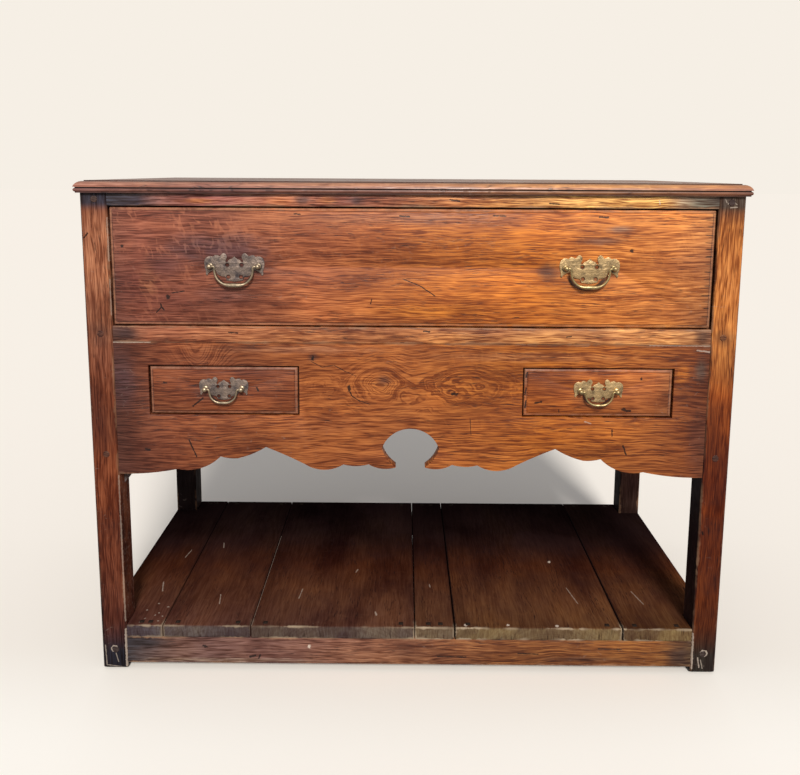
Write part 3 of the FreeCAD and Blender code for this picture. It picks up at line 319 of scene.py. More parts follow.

# The edge of a squared timber, for its wear and its painted shade: near two of the
# faces of its box at once.
tree, given = start_effect("edge_wear_and_shade", ("Vector", "Low", "High"), ("Width",))
below = vector_calc(tree, "SUBTRACT", given["Vector"], given["Low"])
above = vector_calc(tree, "SUBTRACT", given["High"], given["Vector"])
nearest = vector_calc(tree, "MINIMUM", below, above)
gaps = split(tree, nearest)
small = calc(tree, "MINIMUM", gaps[0], gaps[1])
large = calc(tree, "MAXIMUM", gaps[0], gaps[1])
second = calc(tree, "MAXIMUM", small, calc(tree, "MINIMUM", large, gaps[2]))
chips = stretched_noise(tree, given["Vector"], 70.0, 70.0, 70.0, 3, 0.6)
reach = times(tree, given["Width"], spread(tree, chips, 0.3, 0.72, 0.15, 2.0))
edge = minus(tree, 1.0, calc(tree, "DIVIDE", second, reach), clamp=True)
hands = stretched_noise(tree, given["Vector"], 16.0, 16.0, 16.0, 2)
rub = times(tree, edge, spread(tree, hands, 0.42, 0.62))
edge_wear_and_shade = end_effect(tree, Edge=edge, Rub=rub, Inset=calc(tree, "MINIMUM", gaps[0], gaps[2]))

# Soot and polish in the hollows: dark stains and pale scuffs, both in patches.
tree, given = start_effect("old_dirt", ("Vector",), ())
stain = spread(
    tree, stretched_noise(tree, given["Vector"], 7.0, 7.0, 9.0, 4, 0.6, 0.3), 0.4, 0.66, smooth=True,
)
scuff_field = stretched_noise(tree, given["Vector"], 90.0, 60.0, 150.0, 3, 0.7, 0.8)
scuff_zone = stretched_noise(tree, given["Vector"], 8.0, 8.0, 8.0, 2)
scuff = times(tree, spread(tree, scuff_field, 0.62, 0.74), spread(tree, scuff_zone, 0.5, 0.62))
specks = add_node(
    tree, "ShaderNodeTexVoronoi", {"Vector": given["Vector"], "Scale": 30.0, "Randomness": 1.0},
).outputs
chance = add_node(tree, "ShaderNodeSeparateColor", {0: specks["Color"]}).outputs[0]
spots = times(tree, spread(tree, specks["Distance"], 0.036, 0.018), spread(tree, chance, 0.86, 0.9))
old_dirt = end_effect(tree, Stain=stain, Scuff=scuff, Spots=spots)

# A soft patch of another tone, ragged at its rim.
tree, given = start_effect("soft_patch", ("Vector", "Centre", "Reach"), ("Ragged",))
offset = vector_calc(tree, "SUBTRACT", given["Vector"], given["Centre"])
offset = vector_calc(tree, "DIVIDE", offset, given["Reach"])
far = vector_calc(tree, "LENGTH", offset, out="Value")
ragged = minus(tree, stretched_noise(tree, given["Vector"], 34.0, 34.0, 60.0, 3, 0.65), 0.5)
far = plus(tree, far, times(tree, ragged, given["Ragged"]))
soft_patch = end_effect(tree, Mask=spread(tree, far, 1.0, 0.15, smooth=True))

# A dent or a scratch: a straight stroke on the face, uneven along its sides.
tree, given = start_effect("old_mark", ("Vector", "From", "Along"), ("Width",))
offset = vector_calc(tree, "SUBTRACT", given["Vector"], given["From"])
offset = vector_calc(tree, "MULTIPLY", offset, (1, 0, 1))
run = vector_calc(tree, "DOT_PRODUCT", given["Along"], given["Along"], "Value")
reached = vector_calc(tree, "DOT_PRODUCT", offset, given["Along"], "Value")
reached = calc(tree, "DIVIDE", reached, plus(tree, run, 0.00000001), clamp=True)
foot = add_node(
    tree, "ShaderNodeVectorMath", {0: given["Along"], "Scale": reached}, operation="SCALE",
).outputs[0]
far = vector_calc(tree, "DISTANCE", offset, foot, "Value")
jitter = spread(
    tree, stretched_noise(tree, given["Vector"], 260.0, 260.0, 260.0, 2, 0.6), 0.3, 0.7, 0.45, 1.5,
)
far = calc(tree, "DIVIDE", far, times(tree, given["Width"], jitter))
old_mark = end_effect(tree, Mask=spread(tree, far, 1.35, 0.8))

# How the place is turned so that a board's grain runs along X and its face is XZ.
GRAIN_TURN = {
    "upright X": (0, 0, 0),
    "upright Y": (0, 0, math.radians(-90)),
    "upright Z": (0, math.radians(90), 0),
    "flat X": (math.radians(90), 0, 0),
    "flat Y": (math.radians(-90), math.radians(-90), 0),
}


def ramp(tree, value, stops):
    """Colours laid along a value, from (place, colour) pairs."""
    low, high = stops[0][0], stops[-1][0]
    share = spread(tree, value, low, high)
    node = add_node(tree, "ShaderNodeValToRGB", {0: share})
    band = node.color_ramp
    while len(band.elements) < len(stops):
        band.elements.new(0.5)
    for element, (place, _) in zip(band.elements, stops):
        element.position = (place - low) / (high - low)
    for element, (_, colour) in zip(band.elements, stops):
        element.color = (*colour, 1)
    return node.outputs[0]


# Painted shade on the legs.
SHADE_BLACK = (0.005, 0.004, 0.006)
# The dark of dirt spots and dents, and of the painted shadows under the bails.
DIRT_AND_SHADE = (0.01, 0.006, 0.006)


def paint(tree, under, colour, *shares):
    """A colour laid over another, as thickly as all its shares multiplied."""
    share = shares[0]
    for other in shares[1:]:
        share = times(tree, share, other)
    return mix_colour(tree, share, under, (*colour, 1))


def shades(tree, value, dark, middle, light, ends=(0.0, 1.0)):
    """Three colours laid along a value, the middle one at its half."""
    node = add_node(tree, "ShaderNodeValToRGB", {0: value})
    band = node.color_ramp
    for element, place, colour in zip(band.elements, ends, (dark, light)):
        element.position = place
        element.color = (*colour, 1)
    band.elements.new(0.5).color = (*middle, 1)
    return node.outputs[0]


def show(tree, values):
    """Closes a finish with its shader, whose values are given by socket."""
    shader = add_node(tree, "ShaderNodeBsdfPrincipled", values)
    add_node(tree, "ShaderNodeOutputMaterial", {"Surface": shader.outputs[0]})


def oak(
    name, turn, tone_along, tones, called=None, seed=1.0, lines=420.0, figure=0.35, heart=0.0, depth=0.05,
    tilt=0.03, wander=0.006, contrast=1.0, flecks=0.3, cloudy=0.8, stain=0.35, edge=0.004, rub=0.5,
    worn=(0.5, 0.27, 0.15), scuffs=0.3, gloss=0.42, sheen=0.32, patches=(), marks=(), swirl=None,
    rim_highlight_and_shade=None, fade=None, tint=None, dents_and_shadows=None, silver=None, skin=(0, 90),
):
    """An oak finish for one board.  Its tones lie along one axis as (place, colour); a patch
    is (across, up, reach across, reach up, colour, share); a mark is (from, to, width, pale).
    Patches go through the board unless skin gives (depth, reach) of the face they lie on."""
    material, tree, here = new_finish(called or name + "_oak")
    turned = add_node(
        tree, "ShaderNodeMapping", {"Vector": here, "Rotation": GRAIN_TURN[turn]},
    ).outputs[0]
    on_face = turned if turn.startswith("flat") else here
    wood = {
        "Vector": turned, "Seed": seed, "Lines": lines, "Figure": figure, "Heart": heart, "Depth": depth,
        "Tilt": tilt, "Wander": wander,
    }
    if swirl:
        wood.update(swirl(tree, here))
    wood = use_effect(tree, old_oak, wood)
    dirt = use_effect(tree, old_dirt, {"Vector": here})
    low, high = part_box(name)
    rim = use_effect(
        tree, edge_wear_and_shade, {"Vector": here, "Low": tuple(low), "High": tuple(high), "Width": edge},
    )

    # The board's own tones, with its patches, then its grain, clouds and ray flecks.
    place = split(tree, here)["XYZ".index(tone_along)]
    tone = ramp(tree, place, tones)
    if tint:
        tone = mix_colour(tree, 1.0, tone, ramp(tree, split(tree, here)[0], tint), "MULTIPLY")
    for x, z, wide, tall, patch, share in patches:
        reach = {"Centre": (x, skin[0], z), "Reach": (wide, skin[1], tall), "Ragged": 0.9}
        mask = use_effect(tree, soft_patch, {"Vector": on_face, **reach})[0]
        tone = paint(tree, tone, patch, mask, share)
    grain = plus(tree, times(tree, minus(tree, wood["Grain"], 0.5), contrast), 0.5, clamp=True)
    light = shades(tree, grain, (0.32, 0.19, 0.13), (0.98, 0.95, 0.92), (1.6, 1.88, 1.95))
    colour = mix_colour(tree, 1.0, tone, light, "MULTIPLY")
    cloud = shades(tree, wood["Blotch"], (0.48, 0.4, 0.5), (1.0, 1.0, 1.0), (1.5, 1.55, 1.3), (0.32, 0.7))
    colour = mix_colour(tree, cloudy, colour, mix_colour(tree, 1.0, colour, cloud, "MULTIPLY"))
    pale = mix_colour(tree, 1.0, tone, (1.9, 2.2, 2.0, 1), "MULTIPLY")
    fleck = times(tree, silver(tree, here) if silver else wood["Flecks"], flecks)
    colour = mix_colour(tree, fleck, colour, pale)

    # What age has done to it: soot, dark pores, edges darkened partly as painted shade,
    # rubbed edges, and dirt.
    colour = paint(tree, colour, (0.03, 0.014, 0.014), dirt["Stain"], stain)
    colour = paint(tree, colour, (0.016, 0.007, 0.007), wood["Pores"], 0.75)
    kept = spread(tree, place, *fade) if fade else 1.0
    colour = paint(tree, colour, (0.022, 0.01, 0.01), rim["Edge"], 0.45)
    colour = paint(tree, colour, worn, rim["Rub"], rub, kept)
    # The thumb moulding painted in light and shade: a painted highlight on its rounded part, a painted
    # shadow line at its step, and painted shade in the gap round its edge.
    if rim_highlight_and_shade:
        step, rim_highlight = rim_highlight_and_shade
        shaky = plus(tree, rim["Inset"], times(tree, minus(tree, wood["Blotch"], 0.5), 0.0016))
        round_part = spread(tree, shaky, step + 0.0002, step - 0.001)
        chipped = spread(
            tree, stretched_noise(tree, here, 60.0, 60.0, 60.0, 3, 0.65), 0.36, 0.6, 0.15, 1.0,
        )
        colour = paint(tree, colour, rim_highlight, round_part, chipped, 0.38)
        off_line = times(tree, calc(tree, "ABSOLUTE", minus(tree, shaky, step)), 1100.0)
        colour = paint(tree, colour, (0.018, 0.008, 0.008), minus(tree, 1.0, off_line, clamp=True), 0.72)
        outer = spread(tree, rim["Inset"], 0.0016, 0.0006)
        colour = paint(tree, colour, (0.01, 0.005, 0.006), outer, 0.8)
    colour = paint(tree, colour, (0.36, 0.27, 0.22), dirt["Scuff"], scuffs, kept)
    colour = paint(tree, colour, DIRT_AND_SHADE, dirt["Spots"], 0.85)

    # Its own dents and scratches: dark ones dent the wood, pale ones bare it.  Painted
    # shadows given with the dents darken and dent it the same way.
    dent_or_shade = bare = 0.0
    for (x, z), (x_end, z_end), width, pale_share in marks:
        run = {"From": (x, 0, z), "Along": (x_end - x, 0, z_end - z), "Width": width}
        mask = use_effect(tree, old_mark, {"Vector": on_face, **run})[0]
        if pale_share:
            bare = calc(tree, "MAXIMUM", bare, times(tree, mask, pale_share))
        else:
            dent_or_shade = calc(tree, "MAXIMUM", dent_or_shade, mask)
    for mask in dents_and_shadows(tree, here) if dents_and_shadows else ():
        dent_or_shade = calc(tree, "MAXIMUM", dent_or_shade, mask)
    colour = paint(tree, colour, DIRT_AND_SHADE, dent_or_shade, 0.9)
    colour = paint(tree, colour, (0.62, 0.5, 0.4), bare)
    dull = plus(tree, wood["Grain"], dirt["Stain"])
    height = minus(tree, wood["Height"], dent_or_shade)
    bump = add_node(tree, "ShaderNodeBump", {"Strength": 0.4, "Distance": 0.0005, "Height": height})
    show(tree, {
        "Base Color": colour, "Roughness": spread(tree, dull, 0.2, 1.6, gloss + 0.12, gloss - 0.05),
        "Normal": bump.outputs[0], "Specular IOR Level": sheen,
    })
    return material


def dress(name, material):
    """Gives a node of the frame its finish."""
    for place in nodes[name].material_slots:
        place.material = material


def dress_oak(name, *finish, **looks):
    """Gives a node of the frame its own oak."""
    dress(name, oak(name, *finish, **looks))


def take_up(piece):
    """Makes one piece the only one that the next steps work on."""
    bpy.ops.object.select_all(action="DESELECT")
    bpy.context.view_layer.objects.active = piece
    piece.select_set(True)


def clean_up(merge, flatten=False):
    """Merges what lies together and turns the faces of the piece in hand outwards.
    Flattening makes one face of the triangles that lie in a plane."""
    bpy.ops.object.mode_set(mode="EDIT")
    bpy.ops.mesh.select_all(action="SELECT")
    bpy.ops.mesh.remove_doubles(threshold=merge)
    if flatten:
        bpy.ops.mesh.dissolve_limited(angle_limit=math.radians(1))
    bpy.ops.mesh.normals_make_consistent(inside=False)
    bpy.ops.object.mode_set(mode="OBJECT")


def smooth(sharp):
    """Smooths the piece in hand, apart from edges sharper than so many degrees."""
    bpy.ops.object.shade_smooth_by_angle(angle=math.radians(sharp))


def ease_edges(name, width=0.0012):
    """A copy of a node with its sharp edges eased, which stands for the node."""
    piece = nodes[name].copy()
    piece.data = nodes[name].data.copy()
    piece.name = name + "_eased"
    piece.parent = None
    for key in list(piece.keys()):
        del piece[key]
    bpy.context.collection.objects.link(piece)
    take_up(piece)
    clean_up(0.00002, flatten=True)
    rounding = piece.modifiers.new("eased", "BEVEL")
    rounding.width = width
    rounding.segments = 2
    rounding.limit_method = "ANGLE"
    rounding.angle_limit = math.radians(35)
    bpy.ops.object.modifier_apply(modifier="eased")
    smooth(32)
    piece.select_set(False)
    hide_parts(name)
    return piece


def finish_piece(piece, material, body):
    """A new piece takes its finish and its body."""
    piece.data.materials.clear()
    piece.data.materials.append(material)
    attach(piece, body)


# Each leg's tones run up its height. The darkening towards the floor is partly painted shade of a light
# from above. The blue black at the top of the front legs is painted shade under the top. The back legs are
# painted near black as shade. The left front leg is darker than the right, partly as painted light from
# the right.
LEG_TONES = {
    "leg_front_left": (
        (0.0, (0.01, 0.011, 0.016)), (0.035, (0.018, 0.018, 0.026)), (0.09, (0.1, 0.027, 0.015)),
        (0.36, (0.18, 0.045, 0.018)), (0.5, (0.165, 0.044, 0.02)), (0.6, (0.33, 0.114, 0.059)),
        (0.79, (0.393, 0.144, 0.069)), (0.8, (0.3, 0.105, 0.052)), (0.812, (0.048, 0.036, 0.045)),
        (0.83, (0.035, 0.032, 0.042)),
    ),
    "leg_front_right": (
        (0.0, (0.018, 0.016, 0.012)), (0.035, (0.028, 0.021, 0.015)), (0.09, (0.095, 0.02, 0.005)),
        (0.36, (0.126, 0.021, 0.005)), (0.5, (0.225, 0.05, 0.012)), (0.6, (0.5, 0.164, 0.043)),
        (0.78, (0.64, 0.218, 0.056)), (0.802, (0.3, 0.11, 0.045)), (0.812, (0.1, 0.065, 0.045)),
        (0.83, (0.12, 0.085, 0.065)),
    ),
    "leg_back_left": (
        (0.0, (0.012, 0.008, 0.008)), (0.4, (0.018, 0.01, 0.009)), (0.83, (0.1, 0.045, 0.028)),
    ),
    "leg_back_right": (
        (0.0, (0.02, 0.012, 0.01)), (0.4, (0.07, 0.026, 0.015)), (0.83, (0.16, 0.06, 0.03)),
    ),
}
# Black bands painted as shade: along the outer sides of both front legs, round the left foot, and along
# the inner sides of the right legs.
LEG_PATCHES = {
    "leg_front_left": (
        (-0.537, 0.4, 0.006, 3.0, SHADE_BLACK, 1.0), (-0.537, 0.1, 0.011, 0.3, SHADE_BLACK, 1.0),
        (-0.512, 0.6, 0.03, 0.03, (0.1, 0.045, 0.035), 0.5),
    ),
    "leg_front_right": (
        (0.4905, 0.2, 0.0035, 1.5, SHADE_BLACK, 0.95), (0.537, 0.4, 0.0045, 3.0, (0.015, 0.008, 0.008), 0.9),
        (0.512, 0.598, 0.03, 0.02, (0.13, 0.05, 0.025), 0.6),
    ),
    "leg_back_right": ((0.4905, 0.2, 0.0035, 1.5, SHADE_BLACK, 0.95),),
}
RING_HEIGHT, RING_RADIUS = 0.0385, 0.0058


def worn_ring(x, width, pale):
    """The ring of six short scratches round a peg in a front foot."""
    ring = []
    for start in range(6):
        ends = [
            (x + RING_RADIUS * math.cos(turn), RING_HEIGHT + RING_RADIUS * math.sin(turn))
            for turn in (start, start + 0.9)
        ]
        ring.append((*ends, width, pale))
    return tuple(ring)


LEG_MARKS = {
    "leg_front_left": (
        ((-0.4922, 0.355), (-0.4922, 0.09), 0.0008, 0.3),
        ((-0.4925, 0.075), (-0.493, 0.006), 0.0014, 0.55),
        ((-0.529, 0.045), (-0.5275, 0.008), 0.0008, 0.35),
        ((-0.5275, 0.008), (-0.4985, 0.004), 0.0008, 0.35),
        ((-0.511, 0.03), (-0.507, 0.014), 0.0008, 0.35), ((-0.53, 0.757), (-0.524, 0.765), 0.0012, 0),
        ((-0.4918, 0.79), (-0.4918, 0.72), 0.0007, 0.35), ((-0.4918, 0.69), (-0.4918, 0.63), 0.0006, 0.3),
    ) + worn_ring(-0.513, 0.0009, 0.5),
    "leg_front_right": (
        ((0.4925, 0.075), (0.4935, 0.01), 0.0013, 0.55), ((0.503, 0.03), (0.506, 0.012), 0.001, 0.5),
        ((0.508, 0.026), (0.512, 0.01), 0.0008, 0.4), ((0.505, 0.818), (0.513, 0.826), 0.0009, 0.5),
        ((0.509, 0.812), (0.52, 0.813), 0.0008, 0.5), ((0.512, 0.824), (0.519, 0.817), 0.0008, 0.4),
        ((0.5, 0.826), (0.503, 0.82), 0.0008, 0.4), ((0.497, 0.262), (0.498, 0.258), 0.0014, 0),
    ) + worn_ring(0.513, 0.0011, 0.6),
}
for count, (name, tones) in enumerate(LEG_TONES.items()):
    low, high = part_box(name)
    dress_oak(
        name, "upright Z", "Z", tones, seed=11 + 3.3 * count, heart=-(low[0] + high[0]) / 2 - 0.012,
        depth=0.32, wander=0.003, lines=620, edge=0.0035, rub=0.45, stain=0.35, scuffs=0.4, contrast=0.8,
        flecks=0.06, sheen=0.1 if "front" in name else 0.05, patches=LEG_PATCHES.get(name, ()),
        marks=LEG_MARKS.get(name, ()), skin=(low[1], 0.012) if name == "leg_front_left" else (0, 90),
    )

# ------------------------------------------------------------------ rails and stretchers
# Oak rails tenoned between the legs: one over the long drawer, one under it, and four
# stretchers near the floor.  Hands and mops have rubbed their front edges.


def dot(x, z, width, pale=0):
    """A mark as long as it is wide."""
    return (x, z), (x, z), width, pale


def crack(points, widths):
    """A dark crack through several points, with the width of each stretch."""
    return tuple((start, end, width, 0) for start, end, width in zip(points, points[1:], widths))


# Dark blue brown: painted shade along the top rail under the top and over the drawer's gap; elsewhere it
# darkens the rails near their ends.
SOOT_AND_SHADE = (0.02, 0.016, 0.022)
# The rails lighten to the right, partly as painted light from the right.
RAIL_TONES = {
    # The top rail lightens to the right far past its own colour, as a painted pool of light, and is blue
    # black at its left end as painted shade.
    "top_rail": (
        (-0.491, (0.05, 0.044, 0.056)), (-0.44, (0.075, 0.055, 0.065)), (-0.4, (0.45, 0.18, 0.127)),
        (-0.33, (0.425, 0.138, 0.103)), (-0.22, (0.575, 0.196, 0.105)), (-0.12, (0.36, 0.12, 0.08)),
        (0.1, (0.56, 0.2, 0.072)), (0.28, (0.99, 0.494, 0.144)), (0.4, (1.092, 0.564, 0.162)),
        (0.43, (0.52, 0.338, 0.21)), (0.455, (0.192, 0.144, 0.102)), (0.491, (0.1, 0.075, 0.06)),
    ),
    "drawer_rail": (
        (-0.491, (0.12, 0.05, 0.035)), (-0.43, (0.37, 0.118, 0.058)), (0.0, (0.43, 0.145, 0.048)),
        (0.4, (0.68, 0.276, 0.092)), (0.491, (0.26, 0.1, 0.05)),
    ),
    "stretcher_front": (
        (-0.491, (0.035, 0.028, 0.036)), (-0.4, (0.14, 0.066, 0.054)), (-0.2, (0.21, 0.088, 0.062)),
        (0.15, (0.26, 0.088, 0.026)), (0.42, (0.3, 0.1, 0.022)), (0.491, (0.1, 0.05, 0.022)),
    ),
}
RAIL_PATCHES = {
    "top_rail": (
        (-0.345, 0.818, 0.05, 0.006, (0.6, 0.21, 0.075), 0.9),
        (-0.215, 0.818, 0.03, 0.01, (0.6, 0.19, 0.075), 0.8),
        (-0.135, 0.82, 0.025, 0.01, (0.62, 0.22, 0.08), 0.8),
        (-0.045, 0.82, 0.022, 0.008, (0.55, 0.18, 0.08), 0.7),
        (-0.175, 0.82, 0.02, 0.012, (0.06, 0.045, 0.055), 0.7),
        # The dark strips along the rail's top and bottom are painted shade under the top's overhang and
        # over the drawer's gap.
        (-0.09, 0.82, 0.02, 0.012, (0.05, 0.04, 0.05), 0.7), (0.0, 0.812, 0.05, 0.005, SOOT_AND_SHADE, 0.7),
        (0.15, 0.826, 0.1, 0.003, SOOT_AND_SHADE, 0.6), (-0.28, 0.826, 0.12, 0.003, SOOT_AND_SHADE, 0.6),
    ),
    "drawer_rail": (
        (-0.47, 0.6, 0.03, 0.02, SOOT_AND_SHADE, 0.7), (0.1, 0.604, 0.09, 0.004, (0.62, 0.24, 0.09), 0.7),
        (0.35, 0.596, 0.1, 0.005, (0.6, 0.22, 0.08), 0.7),
        (0.478, 0.6, 0.02, 0.02, (0.1, 0.045, 0.03), 0.8),
    ),
    "stretcher_front": (
        (-0.46, 0.05, 0.06, 0.02, SOOT_AND_SHADE, 0.8), (-0.3, 0.018, 0.18, 0.006, (0.42, 0.28, 0.2), 0.6),
        (0.1, 0.04, 0.12, 0.008, (0.3, 0.11, 0.04), 0.6), (0.3, 0.025, 0.1, 0.007, SOOT_AND_SHADE, 0.5),
        (0.47, 0.03, 0.03, 0.03, SOOT_AND_SHADE, 0.6),
    ),
}
RAIL_MARKS = {
    "top_rail": (
        ((0.06, 0.822), (0.075, 0.82), 0.0012, 0), ((0.22, 0.817), (0.235, 0.816), 0.001, 0),
        ((0.395, 0.823), (0.396, 0.817), 0.0008, 0.7),
    ),
    "drawer_rail": (
        ((-0.3, 0.603), (-0.285, 0.602), 0.001, 0), ((0.02, 0.607), (0.03, 0.6065), 0.0012, 0),
        ((0.255, 0.599), (0.262, 0.6), 0.001, 0),
    ),
    "stretcher_front": (
        ((-0.3587, 0.0448), (-0.352, 0.043), 0.0018, 0), ((-0.2771, 0.0247), (-0.268, 0.027), 0.0018, 0),
        ((-0.262, 0.022), (-0.259, 0.029), 0.0012, 0), dot(-0.1739, 0.0445, 0.0028, 0.95),
        ((0.19, 0.035), (0.225, 0.034), 0.0009, 0), ((0.05, 0.028), (0.1, 0.0275), 0.0009, 0),
        ((0.33, 0.045), (0.37, 0.044), 0.0009, 0),
    ),
}
for count, (name, tones) in enumerate(RAIL_TONES.items()):
    finish = oak(
        name, "upright X", "X", tones, seed=31 + 2.7 * count, heart=0.3, depth=0.1, figure=0.3,
        wander=0.004, lines=600, edge=0.003, rub=0.7, contrast=0.95, stain=0.2, flecks=0.1,
        patches=RAIL_PATCHES[name], marks=RAIL_MARKS[name],
    )
    finish_piece(ease_edges(name), finish, "carcass")
DARK_SIDE = ((-0.25, (0.06, 0.028, 0.02)), (0.25, (0.05, 0.024, 0.018)))
DARK_BACK = ((-0.5, (0.04, 0.02, 0.016)), (0.5, (0.06, 0.028, 0.02)))
for count, name in enumerate(("stretcher_left", "stretcher_right")):
    dress_oak(name, "upright Y", "Y", DARK_SIDE, seed=41 + 3 * count, lines=260)
dress_oak("stretcher_back", "upright X", "X", DARK_BACK, seed=47, lines=260)

# ------------------------------------------------------------------ the scrolled apron
# One wide oak board, sawn below into cyma scrolls either side of a keyhole, with two
# windows for the small drawers.  Its middle shows the swirl round a branch.


# Where a branch bends the growth lines: across, how wide, and how far it draws the
# heart of the tree towards the face.
BRANCHES = ((-0.053, 0.032, 0.032), (0.094, 0.062, 0.024), (-0.355, 0.04, -0.06))
HEART_DEPTH, HEART_HEIGHT = 0.036, 0.514


def branch_swirl(tree, here):
    """The figure round the branches: where the growth lines close into ovals."""
    place = split(tree, here)

    def off(value, middle, reach):
        away = calc(tree, "ABSOLUTE", calc(tree, "DIVIDE", minus(tree, value, middle), reach))
        return calc(tree, "POWER", away, 2.0)

    def hump(x, wide, z=0.0, tall=None):
        far = off(place[0], x, wide)
        if tall is not None:
            far = plus(tree, far, off(place[2], z, tall))
        return calc(tree, "EXPONENT", times(tree, far, -1.0))

    uneven = minus(tree, stretched_noise(tree, here, 24.0, 1.0, 36.0, 2), 0.5)
    depth = HEART_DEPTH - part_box("apron")[0][1]
    for x, wide, nearer in BRANCHES:
        depth = minus(tree, depth, times(tree, hump(x, wide), nearer))
    depth = plus(tree, depth, times(tree, uneven, 0.034))
    heart = plus(tree, HEART_HEIGHT, times(tree, uneven, 0.022))
    shown = plus(tree, hump(0.015, 0.165, 0.52, 0.05), hump(-0.335, 0.06, 0.562, 0.02), clamp=True)
    return {"Depth": depth, "Heart": heart, "Figure": shown}


# The apron is darker at its left than at its right, partly as painted light from the right.
APRON_TONES = (
    (-0.519, (0.064, 0.022, 0.016)), (-0.47, (0.097, 0.027, 0.016)), (-0.4, (0.224, 0.058, 0.023)),
    (-0.22, (0.33, 0.09, 0.024)), (0.0, (0.369, 0.103, 0.026)), (0.22, (0.389, 0.103, 0.014)),
    (0.4, (0.33, 0.09, 0.02)), (0.47, (0.19, 0.046, 0.013)), (0.519, (0.13, 0.035, 0.014)),
)
APRON_PATCHES = (
    (-0.48, 0.52, 0.035, 0.07, (0.075, 0.032, 0.034), 0.8),
    (-0.31, 0.512, 0.16, 0.09, (0.16, 0.05, 0.03), 0.5),
    (-0.053, 0.515, 0.055, 0.03, (0.46, 0.14, 0.035), 0.6),
    (0.1, 0.515, 0.07, 0.024, (0.5, 0.145, 0.026), 0.7),
    (0.447, 0.536, 0.016, 0.02, (0.52, 0.15, 0.025), 0.95),
    (0.478, 0.545, 0.016, 0.03, (0.1, 0.065, 0.05), 0.8),
    (0.48, 0.43, 0.03, 0.09, (0.11, 0.032, 0.02), 0.7),
    (0.2, 0.565, 0.24, 0.012, (0.44, 0.16, 0.06), 0.6),
    (-0.2, 0.575, 0.22, 0.01, (0.36, 0.14, 0.07), 0.6),
    (0.42, 0.505, 0.018, 0.012, (0.12, 0.075, 0.05), 0.6),
    (-0.16, 0.45, 0.12, 0.03, (0.3, 0.085, 0.03), 0.6),
    (0.12, 0.395, 0.12, 0.03, (0.42, 0.12, 0.025), 0.6),
    (-0.046, 0.524, 0.018, 0.012, (0.12, 0.045, 0.03), 0.8),
    (-0.1618, 0.5626, 0.012, 0.009, (0.07, 0.03, 0.025), 0.7),
)
APRON_MARKS = (
    *crack(
        ((-0.1027, 0.5125), (-0.1022, 0.506), (-0.0978, 0.4962), (-0.0845, 0.4877), (-0.0679, 0.4827)),
        (0.0024, 0.0011, 0.0009, 0.0007),
    ),
    *crack(
        ((-0.1653, 0.5554), (-0.1472, 0.5454), (-0.1274, 0.5489), (-0.1092, 0.5388), (-0.0911, 0.5305)),
        (0.0005, 0.0006, 0.0006, 0.0004),
    ),
    ((0.069, 0.5012), (0.076, 0.5006), 0.0024, 0), ((-0.1618, 0.5626), (-0.163, 0.558), 0.0018, 0),
    ((-0.2553, 0.5075), (-0.253, 0.504), 0.0016, 0), ((-0.3625, 0.4775), (-0.3454, 0.4914), 0.0014, 0),
    ((-0.371, 0.4185), (-0.3591, 0.3895), 0.0011, 0), ((-0.4438, 0.4023), (-0.4372, 0.4006), 0.0018, 0),
    ((0.0988, 0.4602), (0.101, 0.4308), 0.0005, 0), ((0.3555, 0.4136), (0.3612, 0.3979), 0.0013, 0),
    ((0.3359, 0.4412), (0.3363, 0.4308), 0.001, 0), ((-0.4908, 0.5855), (-0.4298, 0.5858), 0.0008, 0.6),
    ((0.3917, 0.5858), (0.513, 0.5855), 0.0008, 0.45), ((0.5145, 0.572), (0.514, 0.535), 0.0012, 0.6),
    ((0.514, 0.52), (0.5138, 0.47), 0.0009, 0.5), ((0.47, 0.578), (0.5, 0.574), 0.0012, 0.5),
    ((0.29, 0.455), (0.3, 0.452), 0.001, 0.4), ((0.505, 0.459), (0.507, 0.456), 0.002, 0),
)
apron_oak = oak(
    "apron", "upright X", "X", APRON_TONES, seed=53, tilt=0.0, wander=0.005, lines=620, contrast=0.85,
    flecks=0.12, stain=0.18, cloudy=0.55, edge=0.003, rub=0.4, swirl=branch_swirl, patches=APRON_PATCHES,
    marks=APRON_MARKS,
)
finish_piece(ease_edges("apron", 0.001), apron_oak, "carcass")
BLOCK_TONES = ((0.3, (0.1, 0.08, 0.08)), (0.42, (0.16, 0.1, 0.08)))
dress_oak("glue_block_left", "upright Z", "Z", BLOCK_TONES, called="glue_block_oak", seed=59)

# ------------------------------------------------------------------ ends and back
# Plain boards housed in the legs: a wide one at each end, and two across the back,
# nailed on and never polished, so they have gone dry and grey brown.
END_TONES = ((0.35, (0.16, 0.056, 0.028)), (0.6, (0.27, 0.092, 0.04)), (0.83, (0.36, 0.125, 0.052)))
BACK_TONES = ((-0.5, (0.13, 0.074, 0.045)), (0.5, (0.15, 0.084, 0.051)))
for count, name in enumerate(("end_panel_left", "end_panel_right")):
    dress_oak(
        name, "upright Y", "Z", END_TONES, seed=61 + 4 * count, heart=0.62, depth=0.05, tilt=0.08,
        wander=0.004, lines=400, stain=0.35, contrast=0.7,
    )
for count, name in enumerate(("back_board_upper", "back_board_lower")):
    dress_oak(
        name, "upright X", "X", BACK_TONES, seed=71 + 4 * count, heart=0.6 - 0.2 * count, depth=0.04,
        tilt=0.05, wander=0.004, lines=380, contrast=0.6, gloss=0.66, stain=0.4,
    )

